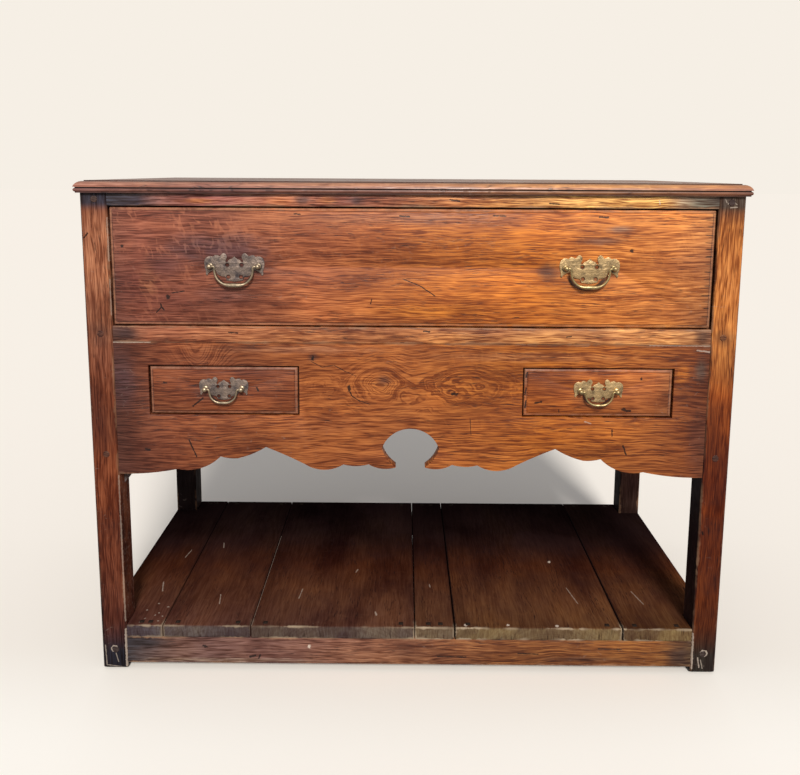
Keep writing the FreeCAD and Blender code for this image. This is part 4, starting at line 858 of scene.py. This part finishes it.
# ------------------------------------------------------------------ the top
# Two oak boards edge to edge, the front one moulded along its front and ends with an
# ovolo over a bead.  Its tones lie in bands up the moulding, with painted light and shade in them.
# Up the moulding: painted shade under the bead, in the quirk and at the top arris, and a painted highlight
# along the ovolo, lighter than the bead.
TOP_TONES = (
    (0.83, (0.018, 0.009, 0.009)), (0.8305, (0.12, 0.055, 0.045)), (0.8312, (0.3, 0.13, 0.095)),
    (0.834, (0.4, 0.17, 0.12)), (0.8366, (0.28, 0.13, 0.1)), (0.8377, (0.02, 0.009, 0.009)),
    (0.8391, (0.02, 0.009, 0.009)), (0.8397, (0.66, 0.27, 0.155)), (0.8412, (0.46, 0.15, 0.075)),
    (0.843, (0.78, 0.37, 0.23)), (0.8462, (0.66, 0.31, 0.19)), (0.8478, (0.5, 0.22, 0.12)),
    (0.8485, (0.035, 0.018, 0.016)), (0.8494, (0.16, 0.065, 0.042)), (0.85, (0.2, 0.08, 0.048)),
)
# From left to right the top turns from a cool brown to a warm one, partly as painted
# light from the right with painted highlights on the moulding.
TOP_TINT = (
    (-0.54, (0.9, 0.82, 0.95)), (0.0, (1.0, 0.95, 0.9)), (0.3, (1.45, 1.4, 0.85)),
    (0.5, (1.4, 1.25, 0.8)), (0.54, (1.2, 1.1, 0.8)),
)
for count, name in enumerate(("top_front_board", "top_back_board")):
    dress_oak(
        name, "flat X", "Z", TOP_TONES, seed=81 + 5 * count, heart=-0.12 + 0.22 * count, depth=0.86,
        tilt=0.02, wander=0.004, lines=700, edge=0.0, rub=0.0, contrast=0.4, stain=0.2, gloss=0.36,
        sheen=0.4, tint=TOP_TINT,
    )

# ------------------------------------------------------------------ the potboard
# Six oak boards laid from front to back on the stretchers and nailed, with open joints
# between them.  They darken to near black towards the back, much of it painted shade
# from the case above, and are rubbed brown in front.
POTBOARD_MARKS = (
    (((-0.1, -0.47), (-0.13, -0.462), 0.001, 0.35), ((0.02, -0.45), (-0.01, -0.455), 0.0009, 0.3)) + tuple(
        dot(y, x, 0.0016, 0.35)
        for y, x in (
            (-0.215, -0.465), (-0.205, -0.45), (-0.19, -0.47), (-0.222, -0.44), (-0.17, -0.455),
            (-0.208, -0.437), (-0.198, -0.446), (-0.226, -0.47), (-0.18, -0.435),
        )
    ),
    (
        ((-0.0272, -0.4361), (-0.075, -0.4302), 0.0012, 0.55),
        ((-0.14, -0.35), (-0.17, -0.345), 0.0009, 0.35), ((0.05, -0.39), (0.03, -0.386), 0.0008, 0.3),
    ),
    (
        ((-0.232, -0.2738), (0.08, -0.2738), 0.0006, 0.32), ((-0.12, -0.2), (-0.15, -0.203), 0.0009, 0.3),
        ((-0.05, -0.1), (-0.06, -0.103), 0.0012, 0.3), ((-0.19, -0.06), (-0.2, -0.058), 0.0012, 0.4),
    ),
    (((-0.1, 0.04), (-0.11, 0.041), 0.001, 0.3),),
    (
        dot(-0.2264, 0.0995, 0.0028, 0.9), dot(-0.2255, 0.1729, 0.0028, 0.9),
        dot(-0.2272, 0.258, 0.0028, 0.9), ((-0.235, 0.0806), (0.22, 0.0806), 0.0009, 0),
        dot(-0.0166, 0.2857, 0.003, 0.8), ((-0.11, 0.3), (-0.16, 0.31), 0.0009, 0.3),
    ),
    (((-0.235, 0.3716), (0.2, 0.3716), 0.001, 0), ((-0.12, 0.42), (-0.16, 0.43), 0.0009, 0.3)),
)
# The front boards' warmth goes from the left board to the right one.
WARMTH = (0.0, 0.1, 0.25, 0.5, 0.75, 1.0)
for count, (warm, marks) in enumerate(zip(WARMTH, POTBOARD_MARKS)):
    name = f"potboard_{count + 1}"
    low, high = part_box(name)
    end_grain = (0.08 + 0.14 * warm, 0.06 + 0.082 * warm, 0.064 - 0.002 * warm)
    # Tones from front to back: the darkening from the middle to near black at the back is mostly painted
    # shade cast by the case above.
    tones = (
        (-0.2344, end_grain), (-0.2333, end_grain),
        (-0.2325, (0.108 + 0.01 * warm, 0.042 + 0.006 * warm, 0.03 - 0.014 * warm)),
        (-0.15, (0.095 + 0.03 * warm, 0.034 + 0.012 * warm, 0.019)), (-0.04, (0.06, 0.017, 0.008)),
        (0.05, (0.022, 0.008, 0.006)), (0.1, (0.014, 0.006, 0.005)), (0.2456, (0.012, 0.006, 0.006)),
    )
    finish = oak(
        name, "flat Y", "Y", tones, seed=91 + 3.1 * count, heart=(low[0] + high[0]) / 2 + 0.02,
        depth=0.03, tilt=0.05, wander=0.004, lines=380, figure=0.4, contrast=0.32, cloudy=0.9, stain=0.3,
        scuffs=0.2, edge=0.003, rub=0.8 + 1.2 * warm, worn=(0.4, 0.3, 0.2), gloss=0.66, sheen=0.0,
        flecks=0.1, fade=(-0.212, -0.23), marks=marks,
    )
    finish_piece(ease_edges(name, 0.0016), finish, "carcass")

# ------------------------------------------------------------------ drawer boxes and runners
# Thin oak sides, backs and bottoms, dovetailed and nailed, with the runners, kickers
# and stops that carry them.  None of it was ever polished.
INSIDE_TONES = ((-0.5, (0.25, 0.135, 0.075)), (0.5, (0.27, 0.145, 0.08)))
BOX_GRAIN = {"side_left": "upright Y", "side_right": "upright Y", "back": "upright X", "bottom": "flat X"}
for drawer, seed in (("long_drawer", 111), ("small_left_drawer", 121), ("small_right_drawer", 131)):
    for piece, turn in BOX_GRAIN.items():
        name = f"{drawer}_{piece}"
        seed += 1.7
        dress_oak(
            name, turn, "X", INSIDE_TONES, seed=seed, heart=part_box(name)[0][2], depth=0.08, lines=420,
            contrast=0.5, stain=0.25, gloss=0.62, sheen=0.15, scuffs=0.1,
        )
CARRIAGE = (
    "long_runner_left", "long_runner_right", "kicker_left", "kicker_right", "small_left_runners",
    "small_right_runners", "drawer_stops",
)
for count, name in enumerate(CARRIAGE):
    dress_oak(
        name, "upright X" if name == "drawer_stops" else "upright Y", "X", INSIDE_TONES,
        seed=141 + 1.9 * count, lines=420, contrast=0.5, gloss=0.62, sheen=0.15,
    )

# ------------------------------------------------------------------ drawer fronts
# Three solid oak fronts set flush in their openings, each with a thumbnail moulding
# worked round its edge.  The long one shows ray flecks where it was cut on the quarter.
DUSK = (0.11, 0.05, 0.052)
# A dark patch under each plate: partly handling grime, partly painted shade round the plate and through
# its piercings.
HANDLE_GRIME_AND_SHADE = (0.03, 0.013, 0.012)


def settle(location=False, rotation=False, scale=False):
    """Puts the piece in hand at the origin, unturned and unscaled, its mesh unmoved."""
    bpy.ops.object.transform_apply(location=location, rotation=rotation, scale=scale)


def round_corners(piece, low, high, radius):
    """Cuts a front's four corners round, by keeping what lies in a rounded block."""
    bpy.ops.object.select_all(action="DESELECT")
    size = [end - start for start, end in zip(low, high)]
    size[1] += 0.01
    bpy.ops.mesh.primitive_cube_add(
        size=1, location=[(start + end) / 2 for start, end in zip(low, high)], scale=size,
    )
    block = bpy.context.object
    settle(location=True, rotation=True, scale=True)
    bpy.ops.object.mode_set(mode="EDIT")
    bpy.ops.mesh.select_mode(type="EDGE")
    bpy.ops.mesh.select_all(action="DESELECT")
    bpy.ops.object.mode_set(mode="OBJECT")
    for edge in block.data.edges:
        start, end = (block.data.vertices[i].co for i in edge.vertices)
        edge.select = abs(start.y - end.y) > 0.01
    bpy.ops.object.mode_set(mode="EDIT")
    bpy.ops.mesh.bevel(offset=radius, segments=5, affect="EDGES")
    bpy.ops.object.mode_set(mode="OBJECT")
    take_up(piece)
    cut = piece.modifiers.new("corners", "BOOLEAN")
    cut.operation = "INTERSECT"
    cut.object = block
    cut.solver = "EXACT"
    bpy.ops.object.modifier_apply(modifier="corners")
    bpy.data.objects.remove(block)
    smooth(32)
    piece.select_set(False)
    return piece


def far_from(tree, here, x, z, stretch):
    """How far a place is from one on the face, stretched, and the way between them."""
    offset = vector_calc(tree, "SUBTRACT", here, (x, 0, z))
    offset = vector_calc(tree, "MULTIPLY", offset, stretch)
    return vector_calc(tree, "LENGTH", offset, out="Value"), offset


def bail_shadow(tree, here, x, z, radius, width):
    """A black crescent painted below a bail as its cast shadow."""
    far, offset = far_from(tree, here, x, z, (0.95, 0, 1))
    off_ring = calc(tree, "ABSOLUTE", minus(tree, far, radius))
    ring = spread(tree, off_ring, width, width * 0.45, smooth=True)
    return times(tree, ring, spread(tree, split(tree, offset)[2], -0.1 * radius, -0.55 * radius))


def quarter_flecks(tree, here):
    """Short pale strokes, nearly upright, at the left, where the board was cut on the quarter."""
    strokes = stretched_noise(tree, roll(tree, here, -68), 50.0, 10.0, 120.0, 0, 0.5, 1.3)
    strokes = spread(tree, strokes, 0.56, 0.72, smooth=True)
    x, _, z = split(tree, here)
    zone = times(tree, spread(tree, x, -0.2, -0.36, 0.15, 1.0), spread(tree, z, 0.68, 0.745, 0.35, 1.0))
    patchy = spread(tree, stretched_noise(tree, here, 15.0, 5.0, 22.0, 1), 0.4, 0.58)
    return times(tree, strokes, times(tree, zone, patchy))


NICK_START, NICK_END = 0.478, 0.4855
NICKS_LOW, NICKS_HIGH = 0.627, 0.796


def edge_nicks(tree, here):
    """A row of short dark nicks, 12 mm apart, along the right edge of the long drawer."""
    x, _, z = split(tree, here)
    shaky = stretched_noise(tree, here, 9.0, 1.0, 70.0, 1)
    turn = calc(tree, "FRACT", plus(tree, times(tree, z, 82.0), shaky))
    line = spread(tree, calc(tree, "ABSOLUTE", minus(tree, turn, 0.5)), 0.085, 0.035)
    start = plus(tree, x, times(tree, shaky, 0.014))
    across = times(tree, spread(tree, start, NICK_START, 0.482), spread(tree, x, NICK_END, 0.484))
    up = times(tree, spread(tree, z, NICKS_LOW, 0.635), spread(tree, z, NICKS_HIGH, 0.788))
    return times(tree, times(tree, line, across), up)


# A painted bail shadow: a crescent's middle across and up, its radius and its breadth.
# The shadow under the long drawer's right bail is the broadest.
BAIL_SHADOWS = {
    "long": ((0.284, 0.709, 0.03, 0.0042), (-0.2892, 0.7095, 0.03, 0.0026)),
    "left": ((-0.3115, 0.506, 0.0222, 0.0024),),
    "right": ((0.3085, 0.506, 0.0222, 0.0024),),
}


def bail_shadows_of(drawer):
    """What draws the painted shadow crescents under a drawer's bails."""
    return lambda tree, here: [bail_shadow(tree, here, *shadow_crescent) for shadow_crescent in BAIL_SHADOWS[drawer]]


def long_drawer_nicks_and_shadows(tree, here):
    """The nicks at the edge and the painted shadow crescents under both bails."""
    return [edge_nicks(tree, here), *bail_shadows_of("long")(tree, here)]


# The long front lightens to the right, partly its own colour and partly painted light, with a painted
# sheen on its right part.
LONG_FRONT_TONES = (
    (-0.489, (0.17, 0.054, 0.036)), (-0.44, (0.265, 0.076, 0.043)), (-0.3, (0.275, 0.082, 0.042)),
    (-0.15, (0.392, 0.111, 0.041)), (0.0, (0.445, 0.125, 0.028)), (0.2, (0.498, 0.134, 0.02)),
    (0.42, (0.766, 0.253, 0.058)), (0.475, (0.506, 0.176, 0.055)), (0.489, (0.26, 0.1, 0.045)),
)
LONG_FRONT_PATCHES = (
    # Dusky patches round the left handle: partly painted shade.
    (-0.2916, 0.735, 0.1, 0.045, DUSK, 0.75), (-0.36, 0.745, 0.06, 0.03, DUSK, 0.6),
    (-0.4, 0.715, 0.05, 0.03, (0.16, 0.06, 0.05), 0.5), (-0.3, 0.665, 0.07, 0.02, DUSK, 0.35),
    (0.222, 0.706, 0.028, 0.022, (0.13, 0.05, 0.03), 0.8),
    (0.3, 0.757, 0.055, 0.01, (0.16, 0.07, 0.05), 0.8),
    (0.335, 0.776, 0.035, 0.008, (0.32, 0.22, 0.16), 0.6),
    (0.29, 0.7, 0.07, 0.035, (0.3, 0.09, 0.03), 0.5), (-0.05, 0.79, 0.25, 0.012, (0.3, 0.1, 0.045), 0.5),
    (0.05, 0.64, 0.16, 0.018, (0.58, 0.17, 0.022), 0.6), (0.44, 0.7, 0.04, 0.08, (0.68, 0.24, 0.07), 0.5),
    (-0.43, 0.69, 0.02, 0.04, (0.36, 0.13, 0.06), 0.5), (0.12, 0.75, 0.12, 0.02, (0.54, 0.16, 0.03), 0.5),
    # Dark patches under the plates: handling grime and painted shade round them.
    (-0.2875, 0.704, 0.056, 0.032, HANDLE_GRIME_AND_SHADE, 0.35), (0.2875, 0.704, 0.05, 0.028, HANDLE_GRIME_AND_SHADE, 0.45),
)
LONG_FRONT_MARKS = (
    dot(-0.469, 0.7445, 0.0024), dot(-0.3975, 0.6613, 0.0032),
    *crack(((-0.417, 0.636), (-0.4085, 0.6445), (-0.41, 0.65)), (0.001, 0.0012)),
    ((-0.4085, 0.6445), (-0.405, 0.6395), 0.0013, 0), ((-0.3907, 0.668), (-0.371, 0.6714), 0.0009, 0),
    *crack(((-0.0143, 0.6935), (0.0134, 0.6822), (0.038, 0.6658)), (0.0008, 0.0008)),
    dot(0.3549, 0.7415, 0.0026), ((-0.065, 0.66), (-0.067, 0.652), 0.0008, 0),
    ((-0.02, 0.7955), (-0.005, 0.795), 0.0012, 0), ((-0.19, 0.798), (-0.18, 0.7975), 0.001, 0),
    ((0.13, 0.797), (0.15, 0.7965), 0.001, 0), ((0.3, 0.796), (0.315, 0.7955), 0.0012, 0),
)
long_front_oak = oak(
    "long_drawer_front", "upright X", "X", LONG_FRONT_TONES, called="long_drawer_oak", seed=17,
    heart=0.55, depth=0.22, tilt=0.05, wander=0.004, lines=600, figure=0.25, contrast=0.82, flecks=0.62,
    silver=quarter_flecks, stain=0.18, edge=0.004, rub=0.3, rim_highlight_and_shade=(0.0055, (0.62, 0.29, 0.15)),
    patches=LONG_FRONT_PATCHES, marks=LONG_FRONT_MARKS, dents_and_shadows=long_drawer_nicks_and_shadows,
)
long_front = ease_edges("long_drawer_front", 0.0012)
long_front = round_corners(long_front, *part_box("long_drawer_front"), 0.0055)
finish_piece(long_front, long_front_oak, "long_drawer")
# The left small front is darker than the right, partly as painted light from the right.
SMALL_FRONT_TONES = {
    "left": (
        (-0.433, (0.18, 0.047, 0.02)), (-0.31, (0.24, 0.062, 0.023)), (-0.187, (0.275, 0.072, 0.022)),
    ),
    "right": (
        (0.187, (0.365, 0.09, 0.017)), (0.31, (0.35, 0.09, 0.018)), (0.4, (0.4, 0.112, 0.029)),
        (0.433, (0.24, 0.077, 0.03)),
    ),
}
SMALL_FRONT_PATCHES = {
    "left": (
        (-0.335, 0.5, 0.05, 0.022, (0.13, 0.042, 0.028), 0.5),
        (-0.23, 0.51, 0.04, 0.02, (0.3, 0.09, 0.035), 0.5),
        # Dark patch under the plate: handling grime and painted shade.
        (-0.31, 0.501, 0.046, 0.026, HANDLE_GRIME_AND_SHADE, 0.5),
    ),
    "right": (
        (0.305, 0.49, 0.05, 0.02, (0.17, 0.05, 0.022), 0.6),
        (0.36, 0.52, 0.04, 0.015, (0.4, 0.12, 0.035), 0.6),
        (0.23, 0.52, 0.03, 0.015, (0.36, 0.1, 0.022), 0.5),
        # Dark patch under the plate: handling grime and painted shade.
        (0.31, 0.501, 0.046, 0.026, HANDLE_GRIME_AND_SHADE, 0.5),
    ),
}
SMALL_FRONT_MARKS = {
    "left": (
        ((-0.3625, 0.4775), (-0.3454, 0.4914), 0.0013, 0),
        ((-0.2553, 0.5095), (-0.253, 0.504), 0.0014, 0), ((-0.41, 0.518), (-0.405, 0.517), 0.001, 0),
    ),
    "right": (
        ((0.2062, 0.4868), (0.2161, 0.4886), 0.0016, 0), ((0.3509, 0.4759), (0.3643, 0.4742), 0.0016, 0),
        ((0.354, 0.479), (0.359, 0.473), 0.0012, 0), ((0.192, 0.538), (0.19, 0.53), 0.0012, 0),
        ((0.191, 0.512), (0.1895, 0.5), 0.001, 0), ((0.1915, 0.49), (0.19, 0.478), 0.0012, 0),
        ((0.246, 0.476), (0.246, 0.471), 0.0008, 0), ((0.38, 0.53), (0.381, 0.528), 0.0014, 0),
    ),
}
for count, side in enumerate(("left", "right")):
    name = f"small_{side}_drawer_front"
    finish = oak(
        name, "upright X", "X", SMALL_FRONT_TONES[side], called=f"small_{side}_drawer_oak",
        seed=23 + 5 * count, heart=0.4, depth=0.1, tilt=0.03, wander=0.002, lines=600, contrast=0.85,
        flecks=0.15, stain=0.2, edge=0.003, rub=0.3, rim_highlight_and_shade=(0.0052, (0.5, 0.25, 0.15)),
        patches=SMALL_FRONT_PATCHES[side], marks=SMALL_FRONT_MARKS[side], dents_and_shadows=bail_shadows_of(side),
    )
    finish_piece(ease_edges(name, 0.001), finish, f"small_{side}_drawer")

# ------------------------------------------------------------------ pegs and nails
# Riven oak pegs lock the tenons in the legs; hand-made iron nails hold the potboard
# and the back.
PEG_TONES = (
    (0.0, (0.045, 0.034, 0.032)), (0.3, (0.11, 0.04, 0.022)), (0.6, (0.2, 0.066, 0.034)),
    (0.8, (0.12, 0.05, 0.035)), (0.83, (0.05, 0.035, 0.035)),
)
dress_oak(
    "frame_pegs", "upright Y", "Z", PEG_TONES, called="peg_oak", seed=151, lines=500, edge=0.0, rub=0.0,
    patches=((0.513, 0.6, 0.05, 0.12, (0.3, 0.1, 0.03), 0.8),),
)
rust, tree, here = new_finish("old_iron")
scale = stretched_noise(tree, here, 300, 300, 300, 3, 0.6)
bump = add_node(tree, "ShaderNodeBump", {"Strength": 0.4, "Distance": 0.0004, "Height": scale})
show(tree, {
    "Base Color": mix_colour(tree, scale, (0.008, 0.006, 0.006, 1), (0.045, 0.03, 0.022, 1)),
    "Roughness": spread(tree, scale, 0.3, 0.7, 0.75, 0.5), "Metallic": 0.0, "Specular IOR Level": 0.0,
    "Normal": bump.outputs[0],
})
dress("board_nails", rust)

# ------------------------------------------------------------------ pierced brass plates
# Cast brass plates, sawn and pierced, their edges filed to a slope and the metal gone
# olive brown.  Each lies flat on its drawer front under two posts.
HANDLES = (
    ("long", "left", (-0.2875, 0.713), "long_drawer"),
    ("long", "right", (0.2875, 0.713), "long_drawer"),
    ("small", "left", (-0.31, 0.5085), "small_left_drawer"),
    ("small", "right", (0.31, 0.5085), "small_right_drawer"),
)
# Half the distance between a handle's posts, the scale of its plate and how far the
# plate is lifted over the posts.
HALF_POSTS = {"long": 0.039, "small": 0.03}
PLATE_SCALE = {"long": 78 / 75, "small": 60 * 1.09 / 75}
PLATE_LIFT = {"long": 0.0, "small": 0.0018}
PLATE_BACK, PLATE_FACE = -0.2344, -0.236
PLATE_SLOPE = 0.00045
MM = 0.001


def brass(name, deep, bright, share=0.5, shine=0.42, hollows=(), chasing=0.6):
    """Old lacquered brass: dull in the hollows, brighter in random patches.  Dirt
    rings each hollow, given as (across, up, radius)."""
    material, tree, here = new_finish(name)
    cloud = stretched_noise(tree, here, 90, 90, 90, 3, 0.6)
    fine = stretched_noise(tree, here, 700, 700, 700, 2, 0.6)
    mask = plus(tree, times(tree, cloud, 0.7), times(tree, fine, 0.3))
    mask = spread(tree, mask, share - 0.16, share + 0.16)
    colour = mix_colour(tree, mask, (*deep, 1), (*bright, 1))
    for x, z, radius in hollows:
        far = far_from(tree, here, x, z, (1, 0, 1))[0]
        mask = times(tree, mask, spread(tree, far, radius, radius + 0.0022))
        dirt = spread(tree, far, radius + 0.0016, radius, 0.0, 0.85)
        colour = mix_colour(tree, dirt, colour, (0.012, 0.008, 0.007, 1))
    chased = plus(tree, stretched_noise(tree, here, 260, 260, 260, 1, 0.5), times(tree, fine, 0.3))
    bump = add_node(
        tree, "ShaderNodeBump", {"Strength": chasing, "Distance": 0.0012, "Height": chased},
    )
    show(tree, {
        "Base Color": colour, "Metallic": spread(tree, mask, 0, 1, 0.55, 0.9),
        "Roughness": spread(tree, mask, 0, 1, shine + 0.15, shine), "Normal": bump.outputs[0],
    })
    return material


# Half of the outline for posts 75 mm apart, from the peak round to the foot, in
# millimetres; C is a cusp and S a smooth turn.
PLATE_EDGE = (
    (0, 15.2, "C"), (4.2, 11.6, "S"), (8.8, 9.6, "C"), (10.6, 7.0, "S"), (12.6, 6.0, "S"),
    (13.6, 8.2, "S"), (12.2, 11.6, "S"), (11.6, 15.6, "S"), (13.4, 19.0, "S"), (16.6, 20.4, "S"),
    (19.6, 18.6, "S"), (22.6, 15.2, "C"), (26.0, 16.8, "S"), (29.8, 17.2, "S"), (33.4, 14.6, "C"),
    (37.6, 15.4, "S"), (42.6, 13.8, "S"), (45.6, 10.6, "S"), (46.8, 5.6, "S"), (46.2, -2.0, "S"),
    (44.6, -8.0, "S"), (44.8, -12.6, "S"), (43.2, -14.6, "S"), (40.6, -11.2, "S"), (36.4, -8.2, "S"),
    (31.6, -6.6, "S"), (29.0, -7.2, "C"), (27.6, -11.4, "S"), (24.0, -14.6, "S"), (19.4, -16.2, "S"),
    (15.4, -16.6, "C"), (13.4, -19.4, "S"), (12.6, -22.6, "C"), (6.0, -23.6, "S"), (0, -24.4, "C"),
)
PIERCINGS = ((11.2, 1.8, 2.9), (9.9, -17.0, 2.9))


def new_piece(name, shape):
    """A piece from its mesh or curve, taken up for the next steps."""
    piece = bpy.data.objects.new(name, shape)
    bpy.context.collection.objects.link(piece)
    take_up(piece)
    return piece


def add_edge(curve, points):
    """A closed outline of smooth turns and cusps."""
    line = curve.splines.new("BEZIER")
    line.bezier_points.add(len(points) - 1)
    for point, (x, z, kind) in zip(line.bezier_points, points):
        point.co = (x, z, 0)
        point.handle_left_type = point.handle_right_type = "VECTOR" if kind == "C" else "AUTO"
    line.use_cyclic_u = True
    line.resolution_u = 5


def saw_plate(name, centre, share, lift):
    """A plate sawn to its outline at a scale, pierced, its face edge filed."""
    curve = bpy.data.curves.new(name, "CURVE")
    curve.dimensions = "2D"
    curve.fill_mode = "BOTH"
    half = [(x * share * MM, z * share * MM, kind) for x, z, kind in PLATE_EDGE]
    add_edge(curve, half + [(-x, z, kind) for x, z, kind in reversed(half[1:-1])])
    for side in (-1, 1):
        for x, z, radius in PIERCINGS:
            ring = []
            for turn in in_radians(range(0, 360, 45)):
                across = side * x + radius * math.cos(turn)
                up = z + radius * math.sin(turn)
                ring.append((across * share * MM, up * share * MM, "S"))
            add_edge(curve, ring)
    thick = PLATE_BACK - PLATE_FACE
    curve.extrude = thick / 2 - 0.00022
    curve.bevel_depth = PLATE_SLOPE
    curve.offset = -PLATE_SLOPE
    curve.bevel_resolution = 1
    new_piece(name, curve)
    bpy.ops.object.convert(target="MESH")
    plate = bpy.context.object
    plate.rotation_euler = (math.radians(90), 0, 0)
    settle(rotation=True)
    depths = [corner.co.y for corner in plate.data.vertices]
    plate.scale = (1, thick / (max(depths) - min(depths)), 1)
    settle(scale=True)
    plate.location = (centre[0], (PLATE_BACK + PLATE_FACE) / 2, centre[1] + lift)
    settle(location=True)
    clean_up(0.00001)
    smooth(30)
    plate.select_set(False)
    return plate


def dirty_places(centre, share, lift, posts):
    """Where dirt gathers on a plate: round its piercings and round its two posts."""
    x, z = centre
    scale = share * MM
    pierced = [
        (x + side * across * scale, z + lift + up * scale, radius * scale)
        for across, up, radius in PIERCINGS for side in (-1, 1)
    ]
    return pierced + [(x + side * posts, z - 0.001, 0.0048 * share) for side in (-1, 1)]


PLATE_BRASS = {
    "left": ((0.055, 0.045, 0.05), (0.4, 0.3, 0.24), 0.5, 0.46),
    "right": ((0.095, 0.064, 0.034), (0.8, 0.55, 0.27), 0.48, 0.4),
}
for kind, side, centre, drawer in HANDLES:
    name = f"{kind}_plate_{side}"
    share, lift = PLATE_SCALE[kind], PLATE_LIFT[kind]
    dirty = dirty_places(centre, share, lift, HALF_POSTS[kind])
    plate = saw_plate(name + "_sawn", centre, share, lift)
    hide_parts(name)
    finish_piece(
        plate, brass(name + "_brass", *PLATE_BRASS[side], hollows=dirty), drawer,
    )

# ------------------------------------------------------------------ posts
# Turned brass posts with a collar and a ball head, bored to take the end of the bail.
# A threaded shank goes through the drawer front to a square nut inside.
# The turning is (radius in millimetres, depth in the object) from the ball to the shank.
POST_TURNING = (
    (0.0, -0.2476), (1.6, -0.2473), (3.0, -0.2464), (3.95, -0.245), (4.2, -0.2434), (3.95, -0.2416),
    (3.1, -0.24), (2.5, -0.2392), (2.5, -0.2384), (3.4, -0.238), (4.4, -0.2374), (4.6, -0.2367),
    (4.6, -0.236), (2.5, -0.2358), (2.5, -0.21), (1.9, -0.2096), (0.0, -0.2096),
)
NUT_BACK, NUT_FRONT = -0.2104, -0.2139
NUT_SIDE = 0.01
BAIL_BRASS = {
    "left": brass("left_bail_brass", (0.12, 0.095, 0.065), (0.46, 0.36, 0.24), 0.46, 0.36, chasing=0.15),
    "right": brass("right_bail_brass", (0.13, 0.095, 0.045), (0.5, 0.38, 0.18), 0.46, 0.34, chasing=0.15),
}


def turn_post(name, x, z, material):
    """One post turned on the lathe, with its nut."""
    shape = bpy.data.meshes.new(name)
    steps = [(at, at + 1) for at in range(len(POST_TURNING) - 1)]
    shape.from_pydata([(radius * MM, y, 0) for radius, y in POST_TURNING], steps, [])
    post = new_piece(name, shape)
    bpy.ops.object.mode_set(mode="EDIT")
    bpy.ops.mesh.select_all(action="SELECT")
    bpy.ops.mesh.spin(steps=20, angle=math.radians(360), center=(0, 0, 0), axis=(0, 1, 0))
    bpy.ops.object.mode_set(mode="OBJECT")
    clean_up(0.00002)
    smooth(35)
    bpy.ops.mesh.primitive_cube_add(
        size=1, location=(0, (NUT_BACK + NUT_FRONT) / 2, 0),
        scale=(NUT_SIDE, NUT_BACK - NUT_FRONT, NUT_SIDE),
    )
    nut = bpy.context.object
    easing = nut.modifiers.new("filed", "BEVEL")
    easing.width = 0.0006
    easing.segments = 2
    bpy.ops.object.modifier_apply(modifier="filed")
    settle(location=True, rotation=True, scale=True)
    post = join_pieces([post, nut], name)
    take_up(post)
    post.location = (x, 0, z)
    settle(location=True)
    post.select_set(False)
    post.data.materials.clear()
    post.data.materials.append(material)
    return post


def join_pieces(pieces, name):
    """Several loose pieces kept as one object."""
    bpy.ops.object.select_all(action="DESELECT")
    for piece in pieces:
        piece.select_set(True)
    bpy.context.view_layer.objects.active = pieces[0]
    bpy.ops.object.join()
    pieces[0].name = name
    pieces[0].select_set(False)
    return pieces[0]


turned = {}
for kind, side, (x, z), drawer in HANDLES:
    node = "long_posts" if kind == "long" else f"small_{side}_posts"
    pair = [
        turn_post(kind + "_post", x + half * HALF_POSTS[kind], z, BAIL_BRASS[side])
        for half in (-1, 1)
    ]
    turned.setdefault((node, drawer), []).extend(pair)
for (node, drawer), pieces in turned.items():
    posts = join_pieces(pieces, node + "_turned")
    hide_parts(node)
    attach(posts, drawer)

# ------------------------------------------------------------------ bails
# Cast brass swing handles hung between the ball heads, with a swelling in the middle
# of the grip.
BAIL_PLANE = -0.2434
# A bail's sizes are its pins' and its arms' places from the middle, its drop, its bend,
# the rod's radius, the radius of the swelling, and half the swelling's length.
BAIL_SIZES = {
    "long": (0.0356, 0.031, 0.0305, 0.024, 0.0018, 0.0036, 0.0185),
    "small": (0.0266, 0.0226, 0.0225, 0.019, 0.0015, 0.0022, 0.015),
}
BEND_STEPS = (6, 16, 28, 42, 62, 90)


def bend_bail(name, centre, pin, arm, drop, bend, rod, swell, grip):
    """A bail as a rod of changing thickness along a bent line."""
    curve = bpy.data.curves.new(name, "CURVE")
    curve.dimensions = "3D"
    curve.resolution_u = 6
    curve.bevel_depth = 1.0
    curve.bevel_resolution = 3
    curve.use_fill_caps = True
    line = curve.splines.new("BEZIER")
    middle = arm - bend
    arc = [(0.0, -drop)]
    for turn in in_radians(BEND_STEPS):
        arc.append((middle + bend * math.sin(turn), -drop + bend * (1 - math.cos(turn))))
    half = [(x, z, rod + (swell - rod) * max(0.0, 1 - (x / grip) ** 2)) for x, z in arc]
    half += [(arm, -0.003, rod * 1.05), (arm + 0.0012, -0.0004, rod * 1.05), (pin, 0.0, rod * 0.9)]
    points = [(-x, z, radius) for x, z, radius in reversed(half[1:])] + half
    line.bezier_points.add(len(points) - 1)
    for point, (x, z, radius) in zip(line.bezier_points, points):
        point.co = (centre[0] + x, BAIL_PLANE, centre[1] + z)
        point.radius = radius
        point.handle_left_type = point.handle_right_type = "AUTO"
    new_piece(name, curve)
    bpy.ops.object.convert(target="MESH")
    bail = bpy.context.object
    clean_up(0.00001)
    smooth(45)
    bail.select_set(False)
    return bail


for kind, side, centre, _ in HANDLES:
    name = f"{kind}_bail_{side}"
    bail = bend_bail(name + "_bent", centre, *BAIL_SIZES[kind])
    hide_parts(name)
    finish_piece(bail, BAIL_BRASS[side], name)

# ------------------------------------------------------------------ the size of the whole
low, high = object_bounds()
